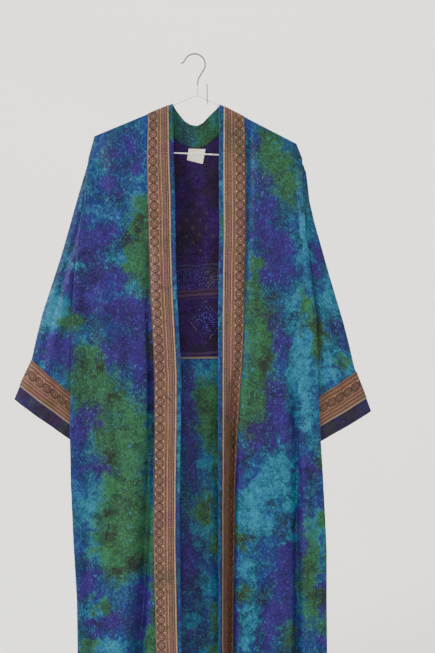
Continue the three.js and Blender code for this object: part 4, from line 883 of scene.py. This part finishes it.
def border_material(name, stripes, medallion, beads, inks, lustre):
    """Sari border, art-silk ground with bronze metallic weft: a row of round medallions, thin stripes and a
    beaded selvedge. The dye bath has tinted and stained it unevenly. Stripes are (millimetres from the outer
    edge, ink); the medallion is (middle, radius, pitch); the beads are (middle, pitch, width)."""
    ribbon = Finish(name)
    mm = ribbon.mm()
    inks = {key: linear(code) for key, code in inks.items()}
    width = stripes[-1][0]
    wander = ribbon.noise(mm, 0.03)
    from_edge = ribbon.add("SeparateXYZ", {0: mm}, out=None)[0]
    share = ribbon.add("Math", {0: ribbon.total(-0.6, (from_edge, 1.0), (wander, 1.2)), 1: width}, operation="DIVIDE")
    ribbon.colour = ribbon.ramp(share, "CONSTANT", *((place / width, inks[ink]) for place, ink in stripes[:-1]))
    middle, radius, pitch = medallion
    size = ribbon.length(ribbon.scaled(ribbon.near(mm, (middle, 0, 0), (200, pitch / 2, 1)),
                                       (1 / radius, 1.9 / pitch, 0)))
    rings = ((0.0, "light"), (0.22, "mauve"), (0.4, "brown"), (0.52, "tan"), (0.66, "mauve"), (0.76, "brown"),
             (0.86, "dark"), (0.96, "dark"), (1.0, "tan"))
    ring = ribbon.ramp(size, "LINEAR", *((place, inks[ink]) for place, ink in rings))
    ribbon.paint(ring, ribbon.add("Math", {0: size, 1: 1.0}, operation="LESS_THAN"))
    # Small diamonds in the gaps of the medallions, on both sides
    for side in (-1, 1):
        gap = (middle + side * radius * 0.86, pitch / 2, 0)
        ribbon.dye(inks["light"], (1.0, 0.6), ribbon.diamond(mm, gap, (200, pitch / 2, 1), (0.5, 0.34, 0)))
    tints = ((0.34, "#d8a8bc"), (0.44, "#e8c8c0"), (0.5, "#f0dcc0"), (0.57, "#dccf94"), (0.66, "#b4b484"))
    tint = ribbon.ramp(ribbon.noise(mm, 0.013, 2.5, distortion=0.6), "LINEAR",
                       *((place, linear(code)) for place, code in tints))
    ribbon.colour = ribbon.blend(0.85, ribbon.colour, tint, "MULTIPLY")
    at, step, wide = beads
    bead = ribbon.length(ribbon.scaled(ribbon.near(mm, (at, 0, 0), (200, step / 2, 1)), (1 / wide, 1 / step, 0)))
    bead_ink = ribbon.blend(ribbon.grown(wander, 0.5, 0.6, 0.7), inks["bead"], linear("#66785c"))
    ribbon.dye(bead_ink, (0.5, 0.34), bead)
    # Stains, and weft threads 0.5 mm apart drawn 1.3 mm apart so that they show
    ribbon.dye(inks["dark"], (0.55, 0.72, 0.6), ribbon.noise(mm, 0.045, 3.0, 0.65, 1.0))
    weft = ribbon.add("TexWave", {"Vector": mm, "Scale": 0.24, "Distortion": 1.2, "Detail": 1.0}, out=1,
                      bands_direction="Y")
    fleck = ribbon.noise(mm, 0.45)
    ribbon.dye(inks["dark"], (0.5, 0.32, 0.5), fleck)
    ribbon.dye(inks["light"], (0.56, 0.7, 0.4), fleck)
    relief = ribbon.bump(ribbon.total(0.0, (weft, 0.5), (fleck, 1.0)), 0.35, 0.0006)
    return ribbon.close(ribbon.ranged(fleck, to_low=0.36, to_high=0.6), relief, Metallic=lustre, IOR=1.5,
                        Specular_IOR_Level=0.3, Sheen_Weight=0.04)


def plain_material(name, low, high, grain, rough, bump=0.1, metallic=0.0, **sockets):
    """A plain finish whose colour and roughness vary a little over its grain, in millimetres."""
    finish = Finish(name)
    place = finish.add("TexCoord", out="Object")
    grains = finish.noise(finish.scaled(place, (1000 / grain,) * 3), 1.0, 4.0, 0.6)
    finish.colour = finish.blend(finish.ranged(grains, 0.35, 0.65), low, high)
    roughness = finish.ranged(grains, to_low=rough - 0.08, to_high=rough + 0.08)
    return finish.close(roughness, finish.bump(grains, bump, 0.0003), Metallic=metallic, IOR=1.5, **sockets)


def colour_of(name):
    return tuple(getattr(bpy.context.scene.robe_colours, name))


# The other silks: two ground dyes, the inks in the order of silk_material, and what else differs
SILKS = {
    "dark_brocade": ("#2a0e4a #2e143c", "#2a0c50 #1c1612 #1c123c #261a16 #281a4e #120a1c #220c44",
                     {"motifs": brocade_motifs, "gloss": 0.05}),
    "green_neckband_silk": ("#16483e #164048", "#16204a #164a30 #184e5c #1c2418 #2c6054 #0a1c18 #122e38",
                            {"cover": (0.2, 0.9)}),
    "plum_cuff_silk": ("#26102a #1a1234", "#22104c #16261c #18183c #24101c #342858 #0c0610 #1c0e34", {}),
}


def robe_silk(name="hand_dyed_mulberry_silk"):
    """One of the robe's silks, made once."""
    if name in bpy.data.materials:
        return bpy.data.materials[name]
    if name not in SILKS:
        inks = [colour_of(k) for k in ("violet", "green", "turquoise", "olive", "pale", "dark", "indigo")]
        return silk_material(name, (colour_of("blue"), colour_of("teal")), inks)
    ground, inks, others = SILKS[name]
    return silk_material(name, [linear(c) for c in ground.split()], [linear(c) for c in inks.split()], **others)


BORDER_STRIPES = (
    (0, "mauve"), (1.4, "dark"), (2.6, "tan"), (22, "tan"), (24.6, "dark"), (26.1, "tan"), (27.8, "dark"),
    (29, "light"), (30.5, "dark"), (32, "mauve"), (38.8, "dark"), (40.3, "tan"), (42.5, "dark"), (44.2, "brown"),
    (49, "end"),
)
CUFF_STRIPES = (
    (0, "mauve"), (1.4, "dark"), (2.6, "tan"), (4.2, "dark"), (5.2, "tan"), (7, "dark"), (8, "light"), (9.8, "dark"),
    (11, "tan"), (13, "brown"), (16, "light"), (18, "tan"), (37, "dark"), (38.4, "light"), (40.4, "dark"),
    (41.6, "tan"), (44, "dark"), (45.2, "light"), (47.4, "dark"), (48.6, "mauve"), (51.6, "dark"), (53, "light"),
    (55, "dark"), (56.4, "tan"), (58.6, "dark"), (59.6, "mauve"), (64, "end"),
)
BORDER_INKS = {"light": "#a0846e", "tan": "#6c5042", "mauve": "#5a4044", "brown": "#3c261e", "dark": "#140a08",
               "bead": "#907a66"}
CUFF_INKS = {"light": "#846454", "tan": "#5a4034", "mauve": "#503630", "brown": "#38241e", "dark": "#140a08",
             "bead": "#76645a"}


def robe_border(name="sari_border"):
    if name not in bpy.data.materials:
        if name == "sari_border":
            border_material(name, BORDER_STRIPES, (12.4, 9.4, 19.5), (46.8, 3.8, 4.6), BORDER_INKS, 0.15)
        else:
            border_material(name, CUFF_STRIPES, (27.5, 9.2, 22), (61.8, 3.6, 4.6), CUFF_INKS, 0.25)
    return bpy.data.materials[name]


# Camera: direction, roll in degrees, place in millimetres; focal length and height of the view in its own pixels
VIEW_DIRECTION, VIEW_ROLL, VIEW_FROM = (0.029638, 0.998609, -0.043619), 0.28, (-32.45, -1797.55, -421.39)
FOCAL_PIXELS, VIEW_PIXELS, SENSOR = 800, 653, 24
# The floor below the hem, and the bend and wall of the backdrop round it, in metres
FLOOR_Z, FLOOR_RADIUS, BEND, WALL_TOP = -1.45, 2.2, 1.6, 4.5
# Square lamps: place, what they are aimed at, size and power
ROBE_AT, BACKDROP_AT = (-0.03, 0, -0.6), (0, 3.6, -0.3)
LAMPS = (
    ("window", (-2.7, -1.5, 1.3), ROBE_AT, 1.5, 180), ("fill", (1.4, -2.8, 0.2), ROBE_AT, 2.2, 26),
    ("behind", (0.5, 2.6, 1.9), ROBE_AT, 2.0, 40), ("wall_wash", (0, 0.9, 2.6), BACKDROP_AT, 2.4, 115),
)
# The hem is stitched along this row from the bottom, about 21 mm above its edge
HEM_ROW = -6
STITCH_WIDTH, STITCH_HEIGHT, STITCH_INSET, LABEL_STITCH_INSET = 0.0007, 0.0004, 1.6, 1.4
THREADS = {"bronze_thread": ("#6b4a3a", "#9a7052"), "blue_thread": ("#16224e", "#2c4a7c"),
           "cream_thread": ("#b8ae98", "#dcd4c0")}
# Across the neckband: its points, and how many of them the border takes in
NECKBAND_POINTS, NECKBAND_COLUMNS, NECK_BORDER_COLUMNS = 61, 15, 11
LABEL_SIZE, LABEL_POINTS, LABEL_LIFT, LABEL_EDGE = (37, 30), (22, 18), 0.5, 0.25


class RobeSizes(bpy.types.PropertyGroup):
    """Sizes of the robe's cloth that a user would change."""

    silk: FloatProperty(name="Silk", description="Thickness of the silk as built", default=CLOTH / 1000,
                        min=0.0004, max=0.003, unit="LENGTH", precision=4)
    ribbon: FloatProperty(name="Border", description="Thickness of the woven borders", default=RIBBON / 1000,
                          min=0.0004, max=0.003, unit="LENGTH", precision=4)
    stitch_pitch: FloatProperty(name="Stitch pitch", description="From one stitch to the next", default=0.004,
                                min=0.002, max=0.02, unit="LENGTH", precision=4)
    stitch_length: FloatProperty(name="Stitch", description="Length of one stitch", default=0.0026, min=0.001,
                                 max=0.01, unit="LENGTH", precision=4)


def colour_property(name, description, code):
    return FloatVectorProperty(name=name, description=description, default=linear(code), size=4, min=0, max=1,
                               subtype="COLOR")


class RobeColours(bpy.types.PropertyGroup):
    """Dyes of the silk."""

    blue: colour_property("Blue", "Ground dye", "#102a64")
    teal: colour_property("Teal", "Ground dye where it turns green", "#104052")
    indigo: colour_property("Indigo", "Dark dye where there is no violet", "#0e1248")
    violet: colour_property("Violet", "Violet dye", "#280c60")
    green: colour_property("Green", "Green dye", "#1e4e2a")
    turquoise: colour_property("Turquoise", "Light turquoise dye", "#1c607a")
    olive: colour_property("Olive", "Brown dye where others meet", "#1e1a18")
    pale: colour_property("Pale", "Specks that the dye missed", "#24508c")
    dark: colour_property("Dark", "Veins and dark specks", "#06041c")
    floor: colour_property("Floor", "Plain floor and backdrop", "#f2f0ec")


class ROBE_OT_stage(bpy.types.Operator):
    """Camera, soft studio light and a plain pale floor that rises to a backdrop all round"""

    bl_idname = "robe.stage"
    bl_label = "Stage"

    def execute(self, context):
        scene = context.scene
        forward = Vector(VIEW_DIRECTION).normalized()
        right = forward.cross(Vector((0, 0, 1))).normalized()
        up = right.cross(forward)
        turn = np.radians(VIEW_ROLL)
        right, up = right * np.cos(turn) - up * np.sin(turn), up * np.cos(turn) + right * np.sin(turn)
        lens = bpy.data.cameras.new("view")
        lens.sensor_fit, lens.sensor_height, lens.lens = "VERTICAL", SENSOR, SENSOR * FOCAL_PIXELS / VIEW_PIXELS
        matrix = Matrix((right, up, -forward)).transposed().to_4x4()
        x, y, z = VIEW_FROM
        matrix.translation = Vector((x, y, z + HANG_HEIGHT)) / 1000
        scene.camera = placed("view", lens)
        scene.camera.matrix_world = matrix

        # A bowl: flat floor under the hem, a wide bend and a wall, all of one profile spun round
        profile = [(0, FLOOR_Z), (FLOOR_RADIUS, FLOOR_Z)]
        profile += [(FLOOR_RADIUS + BEND * np.sin(a), FLOOR_Z + BEND * (1 - np.cos(a)))
                    for a in np.linspace(0.1, np.pi / 2, 12)]
        profile.append((FLOOR_RADIUS + BEND, WALL_TOP))
        shape = bmesh.new()
        line = [shape.verts.new((r, 0, z)) for r, z in profile]
        edges = [shape.edges.new(pair) for pair in zip(line, line[1:])]
        bmesh.ops.spin(shape, geom=line + edges, axis=(0, 0, 1), cent=(0, 0, 0), angle=2 * np.pi, steps=72,
                       use_merge=True)
        bmesh.ops.remove_doubles(shape, verts=shape.verts, dist=1e-5)
        bmesh.ops.recalc_face_normals(shape, faces=shape.faces)
        bmesh.ops.reverse_faces(shape, faces=shape.faces)
        mesh = bpy.data.meshes.new("floor")
        shape.to_mesh(mesh)
        shape.free()
        mesh.polygons.foreach_set("use_smooth", np.ones(len(mesh.polygons), bool))
        pale = colour_of("floor")
        mesh.materials.append(plain_material("matt_painted_floor", pale, pale, 60, 0.85, bump=0.0))
        floor = placed("floor", mesh)

        world = bpy.data.worlds.new("studio")
        world.use_nodes = True
        sky = world.node_tree.nodes["Background"].inputs
        sky["Color"].default_value, sky["Strength"].default_value = linear("#eef2f6"), 0.5
        scene.world = world
        for name, place, aim, size, power in LAMPS:
            light = bpy.data.lights.new(name, "AREA")
            light.shape, light.size, light.energy = "SQUARE", size, power
            lamp = placed(name, light)
            lamp.location = place
            lamp.rotation_euler = (Vector(aim) - Vector(place)).to_track_quat("-Z", "Y").to_euler()
        return {"FINISHED"}


def inset(rows, which, mm=STITCH_INSET):
    """A line of points moved in from one edge of a band towards the other."""
    edge, other = rows[:, which], rows[:, 1 - which]
    inward = other - edge
    return edge + inward / np.linalg.norm(inward, axis=1, keepdims=True) * mm / 1000


def sew(name, lines, normals, context, thread="bronze_thread"):
    """Running stitches along lines of points, as small bars that lie on the cloth."""
    sizes = context.scene.robe_sizes
    shape = bmesh.new()
    for line in lines:
        length = run_length(line)
        for start in np.arange(sizes.stitch_pitch, length[-1] - sizes.stitch_pitch, sizes.stitch_pitch):
            a, b, n = (np.array([np.interp(at, length, column) for column in rows.T])
                       for at, rows in ((start, line), (start + sizes.stitch_length, line), (start, normals)))
            along = Vector(b - a)
            side = along.cross(Vector(n)).normalized()
            up = side.cross(along).normalized()
            matrix = Matrix((along, side * STITCH_WIDTH, up * STITCH_HEIGHT)).transposed().to_4x4()
            matrix.translation = Vector((a + b) / 2)
            bmesh.ops.create_cube(shape, size=1.0, matrix=matrix)
    bmesh.ops.recalc_face_normals(shape, faces=shape.faces)
    mesh = bpy.data.meshes.new(name)
    shape.to_mesh(mesh)
    shape.free()
    if thread not in bpy.data.materials:
        plain_material(thread, *map(linear, THREADS[thread]), 1.2, 0.5, bump=0.05)
    mesh.materials.append(bpy.data.materials[thread])
    piece = placed(name, mesh)
    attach(piece, "root")
    return piece


class ROBE_OT_fronts(bpy.types.Operator):
    """Both fronts of over-dyed silk with the woven border sewn along the opening"""

    bl_idname = "robe.fronts"
    bl_label = "Fronts and borders"

    def execute(self, context):
        sizes = context.scene.robe_sizes
        band, hem = BORDER_COLUMNS, slice(BORDER_COLUMNS.stop, None)
        edges = [band.start, band.stop - 1]
        for name in SIDES:
            at = CLOTH_AT[f"front_{name}"]
            x, z, depth, u = front_grid(name)
            points = put(x, HANG_Y - depth, z)
            normals = outward_normals(points, len(points) // 2, 12, -1)
            # The patches include painted shade in fold valleys beside the borders and on the right strip
            dye = patch_field(PATCHES, "front", x, z, TORN_AT["front"] + at)
            unseen = ease((FRONT_SEEN_TO - z) / SEEN_FADE)[..., None]
            dye = lerp(dye, drift_field(x, z, DRIFT_AT["front"] + at), unseen)
            run = np.zeros(x.shape[1])
            run[-len(RUN_STEPS):] = np.linspace(0, 1, len(RUN_STEPS))
            dye = lerp(dye, drift_field(u, z, DRIFT_AT["front"] + at), run[:, None])
            front = sheet_object(f"silk_front_{name}", points, uv_of(u + at, z), sizes.silk, robe_silk(), dye)
            ribbon = points[:, band] + normals[:, band] * ribbon_lift()
            across = STRIP_WIDTH + BORDER_WIDTH - u[:, band]
            border = sheet_object(f"woven_border_{name}", ribbon, uv_of(across, z[:, band] + at), sizes.ribbon,
                                  robe_border())
            settle(front, f"front_{name}")
            settle(border, f"border_{name}")
            rows = points[:, edges] + normals[:, edges] * (ribbon_lift() + RIBBON / 2000)
            sew(f"border_stitches_{name}", [inset(rows, 0), inset(rows, 1)], normals[:, band.start], context)
            line = points[HEM_ROW, hem] + normals[HEM_ROW, hem] * CLOTH / 2000
            sew(f"hem_stitches_{name}", [line], normals[HEM_ROW, hem], context, "blue_thread")
        return {"FINISHED"}


class ROBE_OT_back(bpy.types.Operator):
    """Upper back of dark brocade and lower back of over-dyed silk, joined across the back"""

    bl_idname = "robe.back"
    bl_label = "Back"

    def execute(self, context):
        sizes = context.scene.robe_sizes
        x, z, depth = back_grid(rows_between(ARMHOLE_TOP, BACK_SEAM + SEAM_GAP / 2), True)
        points = put(x, HANG_Y + depth, z)
        dye = drift_field(x, z, DRIFT_AT["upper_back"], (1.0, 0.3, 0.5, 0.45))
        upper = sheet_object("brocade_back_upper", points, uv_of(x, z), sizes.silk, robe_silk("dark_brocade"), dye)
        x, z, depth = back_grid(rows_between(BACK_SEAM + SEAM_GAP, HEM, LOWER_BACK_STEP), False)
        points = put(x, HANG_Y + depth, z)
        seen = patch_field(BACK_PATCHES, "back", x, z, TORN_AT["back"])
        shown = ease((STRIP_HALF - np.abs(x - STRIP_MIDDLE)) / STRIP_FADE) * ease((z - BACK_SEEN_TO) / SEEN_FADE)
        dye = lerp(drift_field(x, z, DRIFT_AT["lower_back"]), seen, shown[..., None])
        lower = sheet_object("silk_back_lower", points, uv_of(x + CLOTH_AT["back"], z), sizes.silk, robe_silk(), dye)
        normals = outward_normals(points, 10, points.shape[1] // 2, 1)
        for place, row in (("hem", HEM_ROW), ("back_seam", 1)):
            sew(f"{place}_stitches_back", [points[row] + normals[row] * CLOTH / 2000], normals[row], context,
                "blue_thread")
        settle(upper, "back_upper")
        settle(lower, "back_lower")
        return {"FINISHED"}


class ROBE_OT_sleeves(bpy.types.Operator):
    """Sleeves, plum cuffs and the woven borders round them"""

    bl_idname = "robe.sleeves"
    bl_label = "Sleeves and cuffs"

    def execute(self, context):
        sizes = context.scene.robe_sizes
        for name in SIDES:
            at = CLOTH_AT[f"sleeve_{name}"]
            sleeve_rows = [(CUFF_DEEP, share) for share in np.linspace(0, 1, SLEEVE_ROWS)]
            under = np.linspace(CUFF_DEEP, SLEEVE_END + SEAM_GAP / 2, UNDER_BORDER_ROWS)[1:]
            cuff = np.linspace(SLEEVE_END - SEAM_GAP / 2, 0, CUFF_ROWS)
            rows = np.array(sleeve_rows + [(distance, 1) for distance in (*under, *cuff)])
            split = len(sleeve_rows) + len(under)
            x, y, z, around = sleeve_grid(name, rows)
            points = put(x, y, z)
            normals = outward_normals(points, 60, points.shape[1] // 4, -1)
            seen = patch_field(PATCHES, "front", x, z, TORN_AT["front"] + at)
            behind = (np.arange(x.shape[1]) >= x.shape[1] // 2)[:, None]
            dye = np.where(behind, drift_field(around, z, DRIFT_AT["sleeve"] + at), seen)
            plum = drift_field(around, z, DRIFT_AT["cuff"] + at, (1.0, 0.4, 0.6, 0.5))
            uv = uv_of(around + at, z)
            sleeve = sheet_object(f"silk_sleeve_{name}", points[:split], uv[:split], sizes.silk, robe_silk(),
                                  dye[:split])
            strip = sheet_object(f"plum_cuff_{name}", points[split:], uv[split:], sizes.silk,
                                 robe_silk("plum_cuff_silk"), plum[split:])
            last = int(np.argmin(np.abs(rows[:, 0] - CUFF_STRIP_WIDTH)))
            band = slice(len(sleeve_rows) - 1, last + 1)
            ribbon = points[band] + normals[band] * ribbon_lift()
            across = (CUFF_DEEP - rows[band, 0])[:, None]
            border = sheet_object(f"woven_cuff_border_{name}", ribbon, uv_of(across, around[band] + at), sizes.ribbon,
                                  robe_border("cuff_sari_border"))
            edges = np.stack([ribbon[k] + normals[band][k] * RIBBON / 2000 for k in (0, -1)], axis=1)
            sew(f"cuff_stitches_{name}", [inset(edges, 0), inset(edges, 1)], normals[band][5], context)
            settle(sleeve, f"sleeve_{name}")
            settle(strip, f"cuff_{name}")
            settle(border, f"cuff_border_{name}")
        return {"FINISHED"}


class ROBE_OT_neckband(bpy.types.Operator):
    """Neckband behind the neck, the border round its outside, and the bare label"""

    bl_idname = "robe.neckband"
    bl_label = "Neckband and label"

    def execute(self, context):
        sizes = context.scene.robe_sizes
        last = len(NECK_SEAM) - 1
        places = [np.linspace(0, last, NECKBAND_POINTS), [0.03, 0.08, last - 0.08, last - 0.03]]
        places = np.unique(np.concatenate(places))
        across = np.linspace(0, 1, NECKBAND_COLUMNS)[None, :]
        seam, edge = ([np.interp(places, np.arange(last + 1), column)[:, None] for column in zip(*line)]
                      for line in (NECK_SEAM, NECK_EDGE))
        x, z = (lerp(start, end, across) for start, end in zip(seam, edge))
        lean = NECK_LEAN * np.sin(np.pi * places / last)[:, None] ** 2
        depth = spread(shoulder_height(x) - z, SHOULDER_ROLL, BODY_DEPTH, SHOULDER_SPREAD)
        points = put(x, HANG_Y + depth - lean * across**2, z)
        normals = outward_normals(points, 30, 0, 1)
        along = run_length(points[:, 0, ::2])[:, None] * 1000
        width = np.hypot(x - x[:, :1], z - z[:, :1])
        band = sheet_object("silk_neckband", points, uv_of(width + CLOTH_AT["neckband"], along), BAND_CLOTH / 1000,
                            robe_silk("green_neckband_silk"), drift_field(x, z, DRIFT_AT["neckband"]))
        part = slice(0, NECK_BORDER_COLUMNS)
        border = sheet_object("woven_border_neck", points[:, part] + normals[:, part] * ribbon_lift(BAND_CLOTH),
                              uv_of(BORDER_WIDTH - width[:, part], along), sizes.ribbon, robe_border())
        settle(band, "collar_back")
        settle(border, "border_neck")

        over, down = (np.linspace(0, 1, count) for count in LABEL_POINTS)
        over, down = over[None, :], down[:, None]
        x, z = (lerp(lerp(a, b, over), lerp(c, d, over), down) for a, b, c, d in zip(*LABEL_CORNERS))
        depth = layer_depth(x, z, FOLDS["back"]) - (CLOTH / 2 + LABEL_LIFT + LABEL_CLOTH / 2)
        from_edge = np.minimum(np.minimum(over, 1 - over), np.minimum(down, 1 - down))
        points = put(x, HANG_Y + depth - LABEL_EDGE * np.exp(-((from_edge / 0.05) ** 2)), z)
        cotton = plain_material("cream_cotton_label", linear("#cfc8b6"), linear("#e2dccc"), 1.0, 0.8, bump=0.3,
                                Sheen_Weight=0.1)
        uv = uv_of(over * LABEL_SIZE[0], down * LABEL_SIZE[1])
        label = sheet_object("bare_label", points, uv, LABEL_CLOTH / 1000, cotton)
        settle(label, "label")
        outward = np.broadcast_to((0.0, -1.0, 0.0), points.shape)
        edges = np.stack([points[k] + outward[k] * LABEL_CLOTH / 2000 for k in (0, -1)], axis=1)
        sew("label_stitches", [inset(edges, k, LABEL_STITCH_INSET) for k in (0, 1)], outward[0], context,
            "cream_thread")
        return {"FINISHED"}


class ROBE_OT_hanger(bpy.types.Operator):
    """Finishes of the hanger's wires and of the wall hook"""

    bl_idname = "robe.hanger"
    bl_label = "Hanger and wall hook"

    def execute(self, context):
        # Steel wire dipped in white PVC: smooth, a little grey where hands have rubbed it
        coat = plain_material("white_pvc_coated_wire", linear("#b8b8b4"), linear("#dededa"), 9, 0.38, bump=0.04,
                              Coat_Weight=0.2)
        # Drawn galvanised steel: bright, with a fine mottle in its colour and roughness
        steel = plain_material("galvanised_steel_wire", linear("#4c4e52"), linear("#74767a"), 1.6, 0.34, metallic=1.0,
                               bump=0.08)
        # Brass-plated steel hook: warm, with small dull spots
        brass = plain_material("brass_plated_steel", linear("#6c5230"), linear("#a88c58"), 2.2, 0.3, metallic=1.0,
                               bump=0.06)
        finishes = {"hanger_frame": coat, "hanger_stem": coat, "hanger_hook": steel, "wall_hook": brass}
        for obj in bpy.data.objects:
            if obj.name in finishes:
                obj.data.materials.clear()
                obj.data.materials.append(finishes[obj.name])
        return {"FINISHED"}


class ROBE_PT_panel(bpy.types.Panel):
    """Robe pieces"""

    bl_idname = "ROBE_PT_panel"
    bl_label = "Robe"
    bl_space_type = "VIEW_3D"
    bl_region_type = "UI"
    bl_category = "Robe"

    def draw(self, context):
        for operator in OPERATORS:
            self.layout.operator(operator.bl_idname)
        for group in (context.scene.robe_sizes, context.scene.robe_colours):
            for name in group.bl_rna.properties.keys():
                if name not in ("name", "rna_type"):
                    self.layout.prop(group, name)


OPERATORS = (ROBE_OT_stage, ROBE_OT_back, ROBE_OT_fronts, ROBE_OT_sleeves, ROBE_OT_neckband, ROBE_OT_hanger)
CLASSES = (RobeSizes, RobeColours) + OPERATORS + (ROBE_PT_panel,)


def register():
    for item in CLASSES:
        bpy.utils.register_class(item)
    bpy.types.Scene.robe_sizes = PointerProperty(type=RobeSizes)
    bpy.types.Scene.robe_colours = PointerProperty(type=RobeColours)


def unregister():
    del bpy.types.Scene.robe_colours
    del bpy.types.Scene.robe_sizes
    for item in reversed(CLASSES):
        bpy.utils.unregister_class(item)


def main():
    register()
    bpy.ops.robe.stage()
    bpy.ops.robe.back()
    bpy.ops.robe.fronts()
    bpy.ops.robe.sleeves()
    bpy.ops.robe.neckband()
    bpy.ops.robe.hanger()
    bpy.context.view_layer.update()


if __name__ == "__main__":
    main()
